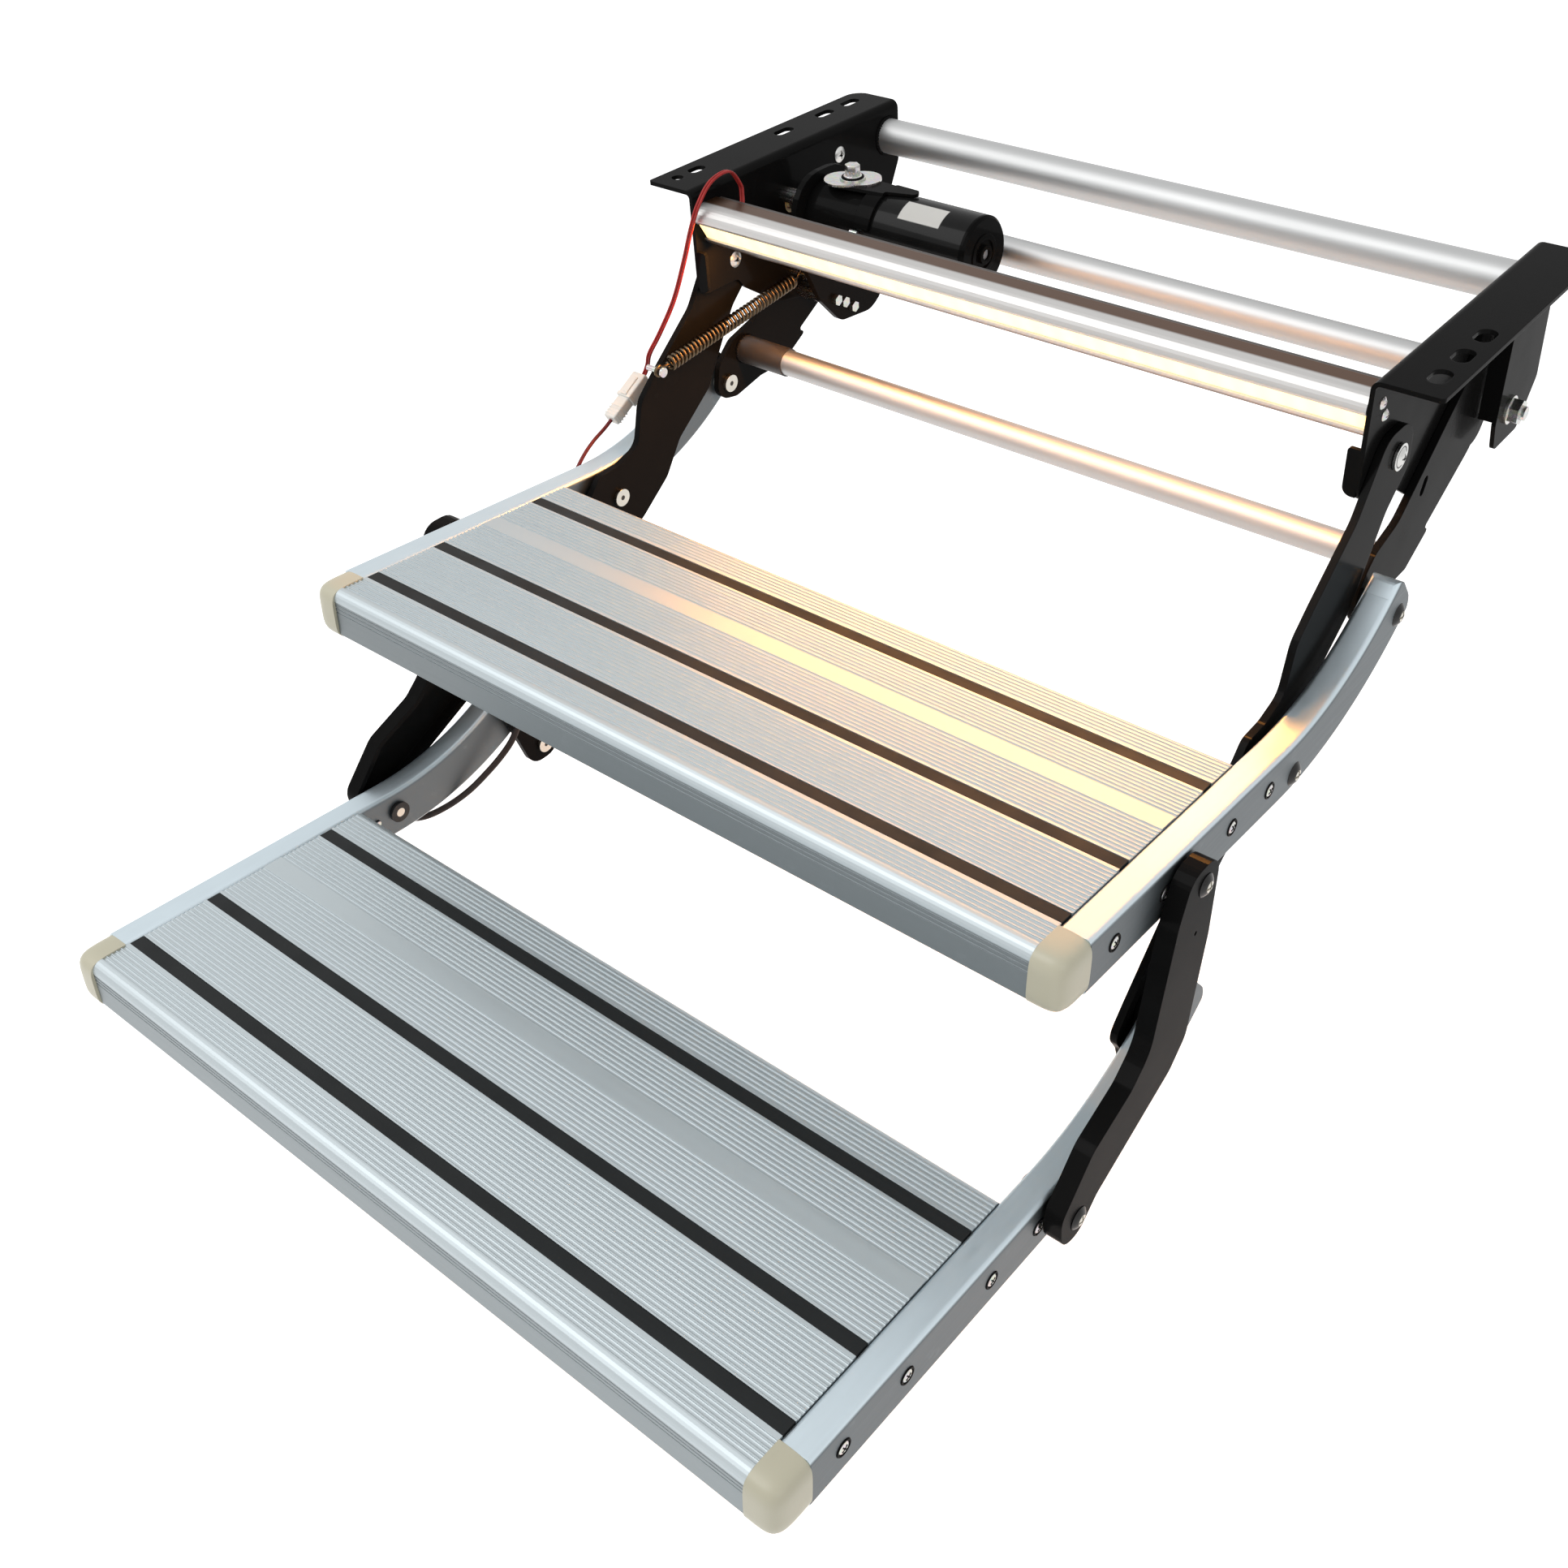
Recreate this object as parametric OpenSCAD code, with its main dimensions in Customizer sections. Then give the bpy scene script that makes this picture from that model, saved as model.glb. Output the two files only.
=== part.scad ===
// Electric double step for a caravan door, shown fully out.
// Millimetres, +Z up. The step folds out toward -Y. The origin is the middle of the
// front edge of the two mounting flanges, on their top face, which meets the floor.

/* [Mounting brackets] */
// Width between the outer faces of the two bracket webs
web_span = 542; // [500:2:620]
// Thickness of the folded sheet of the brackets
sheet_t = 3; // [2.5:0.5:3.5]
// Width of a mounting flange beyond the web
flange_w = 41; // [38:1:50]
// Depth of the flanges from front to back
flange_d = 250; // [248:1:280]
// Width of a mounting slot of the left bracket
left_slot_w = 9; // [7:0.5:11]
// Width of a mounting slot of the right bracket
right_slot_w = 12; // [9:0.5:14]
// Length of a mounting slot
slot_len = 20; // [16:1:24]
// Pitch of neighbouring slots along the flange
slot_pitch = 33; // [30:1:40]
// Outer radius of the cross tube at the back
back_tube_r = 14; // [12:0.5:16]
// Outer radius of the cross tube behind the motor
middle_tube_r = 11; // [9:0.5:13]
// Wall of the cross tubes
tube_wall = 1.5; // [1:0.25:3]

/* [Fold linkage] */
// Length of the front and rear arms between their pivots
arm_len = 204.5; // [200:0.5:209]
// Angle of the arms below the horizontal, folded out
arm_angle = 44.2; // [42:0.2:46]
// Length of the outer links between their pivots
link_len = 204.5; // [200:0.5:209]
// Angle of the outer links below the horizontal, folded out
link_angle = 56; // [55:0.2:57]
// Thickness of the arm plates
arm_t = 5; // [4:0.25:5.5]
// Radius of the step pivot pins
pin_r = 5; // [4:0.25:6]
// Radius of the heads of the step pivot pins
pin_head_r = 8; // [7:0.25:8.5]
// Outer radius of the torsion tube that joins the rear arms
torsion_r = 10; // [8:0.5:11]

/* [Steps] */
// Pitch of the treads, nose up, folded out
tread_pitch = 4.8; // [3.8:0.2:5.8]
// Width over the side rails of a step
step_w = 600; // [590:2:680]
// Thickness of a side rail across
rail_t = 20; // [18:0.5:22]
// Height of a side rail
rail_h = 37; // [34:0.5:40]
// Radius of the upward bend of the rails
bend_r = 215; // [205:5:230]
// Angle of the upward bend of the rails
bend_angle = 43; // [40:1:45]
// Depth of a tread behind the cap line
tread_d = 190; // [186:1:194]
// Depth of a cream end cap and of the tread nose beside it
cap_d = 25; // [20:1:30]
// Height of the tread nose
nose_h = 34; // [30:0.5:36]
// Wall of the tread extrusion
tread_t = 3; // [2.5:0.25:4]
// Pitch of the fine ribs on the treads
rib_pitch = 3.4; // [3:0.1:5]
// Height of the fine ribs
rib_h = 0.8; // [0.5:0.1:1.2]
// Width of a rubber strip in the treads
strip_w = 10; // [8:0.5:12]

/* [Motor] */
// Outer radius of the motor can
motor_r = 28; // [26:0.5:29]
// Wall of the motor can and gearbox housing
can_wall = 2; // [1.5:0.25:3]
// Length of the motor can
can_len = 98; // [90:1:110]
// Length of the gearbox housing
gearbox_len = 52; // [48:1:56]
// Radius of the crank between its two pins
crank_r = 35; // [32:0.5:37]

/* [Spring] */
// Outer radius of the balance spring
spring_r = 5.5; // [4.5:0.25:6]
// Radius of the spring wire
wire_r = 0.8; // [0.6:0.05:0.9]
// Number of turns of the spring
spring_turns = 36; // [30:1:38]

/* [Hidden] */

$fn = 48;
gap = 0.3;
pin_gap = 0.05;

// Places across the width, positive on the right side
web_out = web_span / 2;
web_in = web_out - sheet_t;
flange_out = web_out + flange_w;
arm_in = web_out + 0.4;
arm_out = arm_in + arm_t;
rail_out = step_w / 2;
rail_in = rail_out - rail_t;
link_in = rail_out + 2;
link_out = link_in + 12;

// Pivots in the side view as [y, z]
function turned(p, a) = [p[0] * cos(a) - p[1] * sin(a), p[0] * sin(a) + p[1] * cos(a)];
function in_step(p) = turned(p, -tread_pitch);
front_pivot = [41, -65.5];
arm_pivot_at = [233, -24];
rear_pivot_at = [360, 30];
link_pivot_at = [97, -17];
foot_pivot_at = [218, -17];
arm_foot = front_pivot - arm_len * [cos(arm_angle), sin(arm_angle)];
upper_origin = arm_foot - in_step(arm_pivot_at);
rear_foot = upper_origin + in_step(rear_pivot_at);
rear_pivot = front_pivot + rear_foot - arm_foot;
link_top = upper_origin + in_step(link_pivot_at);
link_foot = link_top - link_len * [cos(link_angle), sin(link_angle)];
lower_origin = link_foot - in_step(foot_pivot_at);
hinge_foot = arm_foot + link_foot - link_top;

// Places of the cross members and of the motor group
back_tube_at = [flange_d - 1 - back_tube_r, -25];
middle_tube_at = [154, -57];
torsion_at = rear_foot + [21.9, 21.2];
motor_at = [110, -42.4];
standoff_at = [[101.8, -32.6], [116, -117]];
plate_bolt_at = [[125.4, -122], [136.8, -130]];
plate_t = 5;
plate_in = web_in - 31;
housing_in = plate_in - plate_t;
can_in = housing_in - gearbox_len;
cap_in = can_in - can_len;
crank_dir = -[cos(arm_angle), sin(arm_angle)];
crank_pin_at = motor_at + crank_r * crank_dir;
arm_pin_at = front_pivot + crank_r * crank_dir;
crank_x = arm_out + 8;
peg_at = [105.4, -97.2];
peg_r = 2.2;
peg_x = 256;
hook_at = arm_foot + [49.6, 88];
hook_x = 264.5;
stop_at = [197, -96];

// A point on each side of a corner with radius r, and the arc between them
function unit(v) = v / norm(v);
function corner(a, b, c, n = 6) =
    let (p = [b[0], b[1]], u = unit([a[0], a[1]] - p), v = unit([c[0], c[1]] - p),
        half = acos(u * v) / 2, o = p + unit(u + v) * b[2] / sin(half),
        s = p + u * b[2] / tan(half) - o, e = p + v * b[2] / tan(half) - o,
        from = atan2(s[1], s[0]), sweep = (atan2(e[1], e[0]) - from + 540) % 360 - 180)
    [for (i = [0:n]) o + b[2] * [cos(from + sweep * i / n), sin(from + sweep * i / n)]];
function rounded(pts) = [for (i = [0:len(pts) - 1]) let (k = len(pts), p = pts[i])
    each (p[2] == 0 ? [[p[0], p[1]]] : corner(pts[(i + k - 1) % k], p, pts[(i + 1) % k]))];
function at(p, d, r) = [p[0] + d[0], p[1] + d[1], r];

module outline(pts) polygon(rounded(pts));
// A plate in the side view, from x to x + t
module plate(x, t) translate([x, 0, 0]) rotate([90, 0, 90]) linear_extrude(t) children();
// A round bar along x
module bar(x0, x1, p, r) translate([x0, p[0], p[1]]) rotate([0, 90, 0]) cylinder(r = r, h = x1 - x0);
module tube_x(x0, x1, p, r, wall) difference() {
    bar(x0, x1, p, r);
    bar(x0 - 1, x1 + 1, p, r - wall);
}
module both() {
    children();
    mirror([1, 0, 0]) children();
}
module left() mirror([1, 0, 0]) children();
module step_at(p) translate([0, p[0], p[1]]) rotate([-tread_pitch, 0, 0]) children();
// A screw head with a cross recess, its flat face on x and its crown outward
module dome_head(x, p, r, h) translate([x, p[0], p[1]]) rotate([0, 90, 0]) difference() {
    intersection() {
        cylinder(r = r, h = h);
        translate([0, 0, h - (r * r + h * h) / (2 * h)]) sphere(r = (r * r + h * h) / (2 * h));
    }
    for (a = [0, 90]) rotate(a) translate([-r * 0.5, -r * 0.09, h * 0.6]) cube([r, r * 0.18, h]);
}

// Tube swept along a path; ups gives a direction that is never along the path
module sweep(path, ups, r, sides) {
    n = len(path);
    t = [for (i = [0:n - 1]) unit(path[min(i + 1, n - 1)] - path[max(i - 1, 0)])];
    rings = [for (i = [0:n - 1]) let (u = unit(cross(t[i], ups[i])), v = cross(t[i], u))
        for (k = [0:sides - 1]) path[i] + r * (cos(360 * k / sides) * u + sin(360 * k / sides) * v)];
    sides_f = [for (i = [0:n - 2]) for (k = [0:sides - 1]) let (a = i * sides + k,
        b = i * sides + (k + 1) % sides) each [[a, b, b + sides], [a, b + sides, a + sides]]];
    caps_f = [for (k = [1:sides - 2]) each [[0, k + 1, k], [(n - 1) * sides, (n - 1) * sides + k,
        (n - 1) * sides + k + 1]]];
    polyhedron(points = rings, faces = concat(sides_f, caps_f));
}

// Brackets: web, flange, bend and front lip, written for the right side
slot_r_side = [26, 26 + slot_pitch, 26 + 2 * slot_pitch];
slot_l_side = [140, 191, 191 + slot_pitch];
web_outline = [[0, 0, 0], [flange_d, 0, 0], [flange_d, -48, 14], [228, -90, 16], [203, -126, 18],
    [150, -130, 40], [88, -118, 30], [50, -92, 12], [42, -82, 6], [0, -82, 10]];
module slot(x, y, w, l) translate([x, y, -sheet_t - 1]) linear_extrude(sheet_t + 2)
    for (s = [-1, 1]) {
        translate([0, s * (l - w) / 2]) circle(d = w);
        square([w, l - w], center = true);
    }
module bracket(back_r) difference() {
    union() {
        intersection() {
            translate([0, flange_d, 0]) rotate([90, 0, 0]) linear_extrude(flange_d)
                outline([[web_in, 0, 6], [flange_out, 0, 0], [flange_out, -sheet_t, 0],
                    [web_out, -sheet_t, 3], [web_out, -140, 0], [web_in, -140, 0]]);
            plate(web_in - 1, flange_w + 8) outline(web_outline);
            translate([0, 0, -150]) linear_extrude(160)
                outline([[web_in - 1, -1, 0], [web_in - 1, flange_d + 1, 0],
                    [flange_out, flange_d, back_r], [flange_out, 0, 3]]);
        }
        translate([0, sheet_t, 0]) rotate([90, 0, 0]) linear_extrude(sheet_t)
            outline([[web_in + 1, -78, 0], [web_in - 8, -78, 6], [web_in - 8, -46, 2], [web_in + 1, -46, 0]]);
    }
    bar(web_in - 9, web_out + 1, front_pivot, pin_r + 1);
    bar(web_in - 1, web_out + 1, rear_pivot, pin_r + 1);
    for (p = light_screw_at) bar(web_in - 1, web_out + 1, p, 2.2);
}
module left_bracket() color("#1c1c1d") left() difference() {
    bracket(14);
    for (y = slot_l_side) slot(web_out + 27, y, left_slot_w, slot_len);
    slot(web_out + 27, 38, left_slot_w, slot_len * 0.8);
    slot(web_out + 27, 17, left_slot_w, left_slot_w + 0.2);
    bar(web_in - 1, web_out + 1, motor_at, bush_r);
    bar(web_in - 1, web_out + 1, peg_at, peg_r);
    for (p = standoff_at) csk_hole(p);
}
module right_bracket() color("#1c1c1d") difference() {
    bracket(26);
    for (y = slot_r_side) slot(web_out + 27, y, right_slot_w, slot_len);
}

// Cross tubes between the webs
module back_tube() color("#b9bdc0") tube_x(-web_in, web_in, back_tube_at, back_tube_r, tube_wall);
module middle_tube() color("#b9bdc0")
    tube_x(-web_in, web_in, middle_tube_at, middle_tube_r, tube_wall);

// Light bar: hollow extrusion with a round nose and a slanted channel for the strip
light_screw_at = [[15.5, -20.4], [21.7, -31]];
light_outline = [[-1.7, -11, 9], [27, -11, 2], [27, -40, 2], [14, -44, 1], [9.5, -38.5, 0],
    [12, -36.5, 0], [3.8, -22.6, 0], [1.3, -24, 0], [-1.7, -21, 1]];
light_cavity = [[7, -13, 3], [25, -13, 0], [25, -38, 0], [15, -41.6, 0], [14.4, -36.6, 0], [5.6, -21.5, 0]];
module light_boss(p, up) plate(-web_in, 2 * web_in) difference() {
    union() {
        translate(p) circle(r = 3.6, $fn = 12);
        if (up > 0) translate([p[0] - 0.8, p[1] + 2]) square([1.6, up]);
        if (up == 0) translate([p[0] + 2, p[1] - 0.8]) square([2.4, 1.6]);
    }
    translate(p) circle(r = 1.6, $fn = 12);
}
module light_bar() color("#c9cccf") {
    plate(-web_in, 2 * web_in) difference() {
        outline(light_outline);
        outline(light_cavity);
    }
    light_boss(light_screw_at[0], 6);
    light_boss(light_screw_at[1], 0);
}
module light_strip() color("#ffe2b0") plate(-web_in + 2, 2 * web_in - 4)
    polygon([[2.9, -24.6], [10.3, -37.2], [11.5, -36.4], [4, -23.8]]);
module light_bar_cover() color("#2a211c") plate(-web_in + 1, 2 * web_in - 2)
    outline([[27, -12, 0.6], [31, -12, 1.5], [31, -24, 1.5], [27, -24, 0.6]]);
module light_bar_screws() color("#c8c8c8") both() for (p = light_screw_at) {
    bar(web_in - 14, web_out, p, 1.5);
    dome_head(web_out, p, 4.2, 2);
}

// Motor group at the left web, written for the right side and mirrored
bush_r = 7.5;
shaft_r = 5;
module csk_hole(p) {
    bar(web_in - 1, web_out + 1, p, 2.6);
    translate([web_out - 2.4, p[0], p[1]]) rotate([0, 90, 0]) cylinder(r1 = 2.6, r2 = 5.1, h = 2.5);
}
module gearbox_plate() color("#1a1a1b") left() difference() {
    plate(housing_in, plate_t) outline([[74, -8, 30], [148, -8, 30], [146, -70, 20],
        [190, -128, 20], [160, -142, 18], [122, -138, 16], [98, -112, 22], [73, -60, 22]]);
    bar(housing_in - 1, plate_in + 1, motor_at, bush_r);
    for (p = concat(standoff_at, plate_bolt_at)) bar(housing_in - 1, plate_in + 1, p, 2.5);
    bar(housing_in - 1, plate_in + 1, middle_tube_at, middle_tube_r + gap);
}
module standoffs() color("#bfc2c4") left() for (p = standoff_at) difference() {
    bar(plate_in, web_in, p, 6);
    bar(plate_in - 1, web_in + 1, p, 2.5);
    for (a = [0:45:315]) translate([plate_in - 1, p[0] + 6.3 * cos(a), p[1] + 6.3 * sin(a)])
        rotate([0, 90, 0]) cylinder(r = 0.9, h = web_in - plate_in + 2, $fn = 16);
}
module standoff_screws() color("#c8c8c8") left() {
    for (p = standoff_at) {
        bar(housing_in + 0.3, web_out - 2.4, p, 2.4);
        translate([web_out - 2.4, p[0], p[1]]) rotate([0, 90, 0]) cylinder(r1 = 2.4, r2 = 4.9, h = 2.4);
    }
    bar(housing_in - 1, housing_in + 1, standoff_at[1], 2.4);
    translate([housing_in, standoff_at[1][0], standoff_at[1][1]]) rotate([0, -90, 0])
        cylinder(r = 4.6, h = 4, $fn = 6);
}
module plate_bolts() color("#c8c8c8") left() for (p = plate_bolt_at) {
    bar(housing_in, plate_in, p, 2.4);
    translate([housing_in, p[0], p[1]]) rotate([0, -90, 0]) cylinder(r = 4.6, h = 4, $fn = 6);
    translate([plate_in, p[0], p[1]]) rotate([0, 90, 0]) cylinder(r = 4.6, h = 4, $fn = 6);
}
module gearbox_housing() color("#202021") left() difference() {
    union() {
        bar(can_in, housing_in, motor_at, motor_r - 1);
        bar(can_in, can_in + 3, motor_at, motor_r);
    }
    bar(can_in - 1, housing_in - 3, motor_at, motor_r - 1 - can_wall * 1.5);
    bar(can_in - 1, housing_in + 1, motor_at, bush_r);
    translate([strap_bolt_x, motor_at[0], motor_at[1] + motor_r - 6]) cylinder(r = 2.9, h = 10);
}
module motor_can() color("#1b1b1c") left() tube_x(cap_in + 4, can_in, motor_at, motor_r, can_wall);
module motor_end_cap() color("#1b1b1c") left() translate([cap_in, motor_at[0], motor_at[1]])
    rotate([0, 90, 0]) rotate_extrude($fn = 96) polygon([[4.05, -2.5], [7, -2.5], [7, 0.6], [11, 0.6], [11, -0.8],
        [15, -0.8], [15, 0], [motor_r - 2, 0], [motor_r, 2], [motor_r, 4], [motor_r - can_wall - 0.1, 4],
        [motor_r - can_wall - 0.1, 8], [motor_r - can_wall - 3, 8], [motor_r - can_wall - 3, 4], [9, 4], [9, 8],
        [4.05, 8]]);
module field_magnets() color("#4a4a4d") left() for (a = [0, 180])
    translate([cap_in + 22, motor_at[0], motor_at[1]]) rotate([a - 65, 0, 0]) rotate([0, 90, 0])
        rotate_extrude(angle = 130, $fn = 96) translate([motor_r - can_wall - 5, 0]) square([4.95, can_len - 36]);
module armature() color("#8a5a3c") left() translate([0, motor_at[0], motor_at[1]]) rotate([0, 90, 0]) {
    translate([0, 0, cap_in - 1]) cylinder(r = 4, h = can_len + 7);
    translate([0, 0, cap_in + 26]) linear_extrude(can_len - 44) difference() {
        circle(r = motor_r - can_wall - 6);
        for (k = [0:8]) rotate(40 * k) translate([motor_r - can_wall - 9, -1.4]) square([4, 2.8]);
    }
    translate([0, 0, cap_in + 9]) cylinder(r = 9, h = 12);
}
// Strap over the gearbox, its vertical bolt, oval washer and ring
strap_bolt_x = plate_in - plate_t - 28;
strap_z = motor_at[1] + motor_r + 0.4;
module motor_strap() color("#1b1b1c") left() difference() {
    union() {
        translate([strap_bolt_x - 36, motor_at[0], 0]) rotate([90, 0, 90]) linear_extrude(14)
            difference() {
                translate([0, motor_at[1]]) circle(r = motor_r + 2.6);
                translate([0, motor_at[1]]) circle(r = motor_r + 0.1);
                translate([-40, -90]) square([80, 90 + motor_at[1] + 8]);
            }
        translate([0, 0, strap_z]) linear_extrude(2.4) outline([[strap_bolt_x - 36, motor_at[0] - 9, 0],
            [strap_bolt_x + 10, motor_at[0] - 16, 8], [strap_bolt_x + 16, motor_at[0] + 12, 8],
            [strap_bolt_x - 36, motor_at[0] + 9, 0]]);
        translate([0, 0, strap_z]) linear_extrude(2.4) outline([[strap_bolt_x - 60, motor_at[0] + 2, 4],
            [strap_bolt_x - 34, motor_at[0] - 6, 2], [strap_bolt_x - 34, motor_at[0] + 11, 2],
            [strap_bolt_x - 56, motor_at[0] + 10, 4]]);
    }
    translate([strap_bolt_x, motor_at[0], strap_z - 1]) cylinder(r = 3.2, h = 5);
}
module strap_washer() color("#c9ccce") left() translate([strap_bolt_x, motor_at[0], strap_z + 2.4])
    rotate(-35) linear_extrude(1.6) difference() {
        outline([[-22, -15, 14], [22, -15, 14], [22, 15, 14], [-22, 15, 14]]);
        circle(r = 3.2);
    }
module strap_bolt() color("#c9ccce") left() translate([strap_bolt_x, motor_at[0], 0]) {
    translate([0, 0, strap_z - 5]) cylinder(r = 2.85, h = 10);
    translate([0, 0, strap_z + 4]) difference() {
        cylinder(r = 10, h = 1.2);
        translate([0, 0, -1]) cylinder(r = 7, h = 4);
    }
    translate([0, 0, strap_z + 4]) cylinder(r = 7, h = 1);
    translate([0, 0, strap_z + 5]) cylinder(r = 5.6, h = 5.4, $fn = 6);
}
module motor_screws() color("#c8c8c8") left() for (a = [172, 330])
    translate([can_in - 3.5, motor_at[0] + (motor_r + 2.7) * cos(a), motor_at[1] + (motor_r + 2.7) * sin(a)])
        rotate([0, 90, 0]) cylinder(r = 2.4, h = 7);

// Output shaft with its crank, and the drive link beside the left arms
module output_bush() color("#e6e2d4") left() for (x = [housing_in, web_in])
    tube_x(x, x + (x == web_in ? sheet_t : plate_t), motor_at, bush_r, bush_r - shaft_r - pin_gap);
// A flat lever with a round end of radius ra at a and rb at b
module lever(a, b, ra, rb) {
    d = unit(b - a);
    n = turned(d, 90);
    outline([for (q = [[a - ra * d + ra * n, ra], [a - ra * d - ra * n, ra], [b + rb * d - rb * n, rb],
        [b + rb * d + rb * n, rb]]) [q[0][0], q[0][1], q[1] * 0.98]]);
}
module output_crank() color("#8f9396") left() {
    bar(can_in + 24, crank_x + 3, motor_at, shaft_r);
    bar(crank_x, crank_x + 6, motor_at, 11);
    difference() {
        plate(crank_x + 0.5, 5) lever(motor_at, crank_pin_at, 9, 9);
        bar(crank_x - 1, crank_x + 7, crank_pin_at, 4);
    }
}
module drive_link() color("#1b1b1c") left() difference() {
    plate(crank_x - 5.4, 5) lever(arm_pin_at, crank_pin_at, 9, 9);
    bar(crank_x - 6, crank_x, arm_pin_at, 4.3);
    bar(crank_x - 6, crank_x, crank_pin_at, 4 + pin_gap);
}
module drive_pins() color("#b9bdc0") left() {
    bar(crank_x - 6.4, crank_x + 7, crank_pin_at, 4);
    bar(crank_x - 7.4, crank_x - 5.7, crank_pin_at, 6.5);
}

// Spring peg on the web, hook pin on the arm, and the coil between them
module spring_peg() color("#b9bdc0") left() {
    bar(peg_x - 5, web_out, peg_at, peg_r);
    bar(peg_x - 6.5, peg_x - 5, peg_at, peg_r + 1.6);
}
module spring_hook_pin() color("#b9bdc0") left() {
    bar(hook_x - 3.5, arm_out, hook_at, peg_r);
    bar(hook_x - 5, hook_x - 3.5, hook_at, peg_r + 1.6);
}
spring_a = [-peg_x, peg_at[0], peg_at[1]];
spring_b = [-hook_x, hook_at[0], hook_at[1]];
spring_dir = unit(spring_b - spring_a);
spring_up = unit(cross(spring_dir, [1, 0, 0]));
spring_side = cross(spring_up, spring_dir);
eye_r = peg_r + wire_r + 0.3;
coil_from = eye_r + 6;
coil_len = norm(spring_b - spring_a) - 2 * coil_from;
coil_rise = coil_len / spring_turns;
coil_mid_r = spring_r - wire_r;
function eye(c, d, n) = [for (i = [0:n]) let (a = 290 - 260 * i / n)
    c + eye_r * (cos(a) * d + sin(a) * spring_up)];
function coil_point(k) = let (a = 45 * k, r = coil_mid_r * min(1, k / 4, (8 * spring_turns - k) / 4))
    spring_a + spring_dir * (coil_from + coil_rise * k / 8) + r * (cos(a) * spring_up + sin(a) * spring_side);
function reversed(l) = [for (i = [len(l) - 1:-1:0]) l[i]];
spring_path = concat(eye(spring_a, spring_dir, 8), [for (k = [0:8 * spring_turns]) coil_point(k)],
    reversed(eye(spring_b, -spring_dir, 8)));
spring_ups = concat([for (i = [0:8]) [1, 0, 0]], [for (k = [0:8 * spring_turns]) spring_dir],
    [for (i = [0:8]) [1, 0, 0]]);
coil_gap = min([for (k = [8:8 * spring_turns - 16]) for (j = [6:10])
    norm(coil_point(k + j) - coil_point(k))]) - 2 * wire_r;
echo(least_gap_of_the_spring_to_itself = coil_gap);
module balance_spring() color("#7a7466") sweep(spring_path, spring_ups, wire_r, 6);

// Stop bracket under the right flange, outboard of the rear arm, and its bolt
stop_r = 5;
stop_x = web_out + 16;
module stop_bracket() color("#1c1c1d") difference() {
    union() {
        plate(stop_x, 3) outline([[176, -sheet_t, 0], [236, -sheet_t, 0], [244, -90, 6], [222, -121, 6],
            [182, -121, 6], [176, -100, 10]]);
        translate([arm_out + 0.8, 176, -98]) cube([stop_x - arm_out + 1, 3, 62]);
    }
    bar(stop_x - 1, stop_x + 4, stop_at, stop_r);
}
module stop_bolt() color("#b9bdc0") {
    bar(stop_x - 5, stop_x + 15, stop_at, stop_r - pin_gap);
    translate([stop_x, stop_at[0], stop_at[1]]) rotate([0, -90, 0]) cylinder(r = 9, h = 6, $fn = 6);
    bar(stop_x + 3, stop_x + 5, stop_at, 10);
    translate([stop_x + 5, stop_at[0], stop_at[1]]) rotate([0, 90, 0]) cylinder(r = 9, h = 7, $fn = 6);
}

// Front and rear pivot bolts of the arms in the webs
module pivot_bolt(p, head_r) {
    bar(web_in, arm_out + 1.2, p, pin_r);
    bar(web_in, arm_in - 0.1, p, pin_r + 1);
    bar(arm_out + 0.3, arm_out + 2.3, p, head_r);
    dome_head(arm_out + 2.3, p, pin_r + 1, 2.4);
    left() rotate([0, 0, 180]) mirror([0, 1, 0]) dome_head(-web_in, p, head_r - 2, 2.6);
}
module front_pivot_bolts() color("#c3c6c8") both() pivot_bolt(front_pivot, 9);
module rear_pivot_bolts() color("#c3c6c8") both() pivot_bolt(rear_pivot, 9);

// Arms
front_arm_outline = [at(front_pivot, [-20, 20], 19), at(front_pivot, [20, 20], 19),
    at(front_pivot, [20, -16], 12), at(front_pivot, [-4, -37.5], 30), at(front_pivot, [-39, -94.5], 16),
    at(arm_foot, [70, 20], 22), at(arm_foot, [52, -6], 22), at(arm_foot, [22, -28], 40),
    at(arm_foot, [-36, -58], 50), at(hinge_foot, [16, 34], 30), at(hinge_foot, [14, -14], 13.5),
    at(hinge_foot, [-14, -14], 13.5), at(hinge_foot, [-29, 36], 8), at(hinge_foot, [-39, 53], 12),
    at(hinge_foot, [-24.8, 68.9], 60), at(arm_foot, [-27, 15], 14), at(arm_foot, [-18, 25], 10),
    at(arm_foot, [3, 25.5], 20), at(arm_foot, [25, 32], 14), at(arm_foot, [34, 66], 20),
    at(arm_foot, [52, 82], 30), at(front_pivot, [-49, -24], 30)];
rear_arm_outline = [at(rear_pivot, [-16, 16], 15.5), at(rear_pivot, [16, 16], 15.5),
    at(rear_pivot, [18, -60], 60), at(rear_pivot, [12, -91], 40), at(rear_foot, [88.5, 12], 2),
    at(rear_foot, [96, 8], 2), at(rear_foot, [66, -9], 5), at(rear_foot, [38, -9], 8),
    at(rear_foot, [8, -15], 12), at(rear_foot, [-15, -10], 13), at(rear_foot, [-9, 18], 13),
    at(rear_foot, [8, 33], 14), at(rear_foot, [37.5, 41], 30), at(rear_pivot, [-18, -26], 40)];
module front_arm() difference() {
    plate(arm_in, arm_t) outline(front_arm_outline);
    bar(arm_in - 1, arm_out + 1, front_pivot, pin_r + 1 + pin_gap);
    for (p = [arm_foot, hinge_foot]) bar(arm_in - 1, arm_out + 1, p, pin_r + pin_gap);
}
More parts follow.
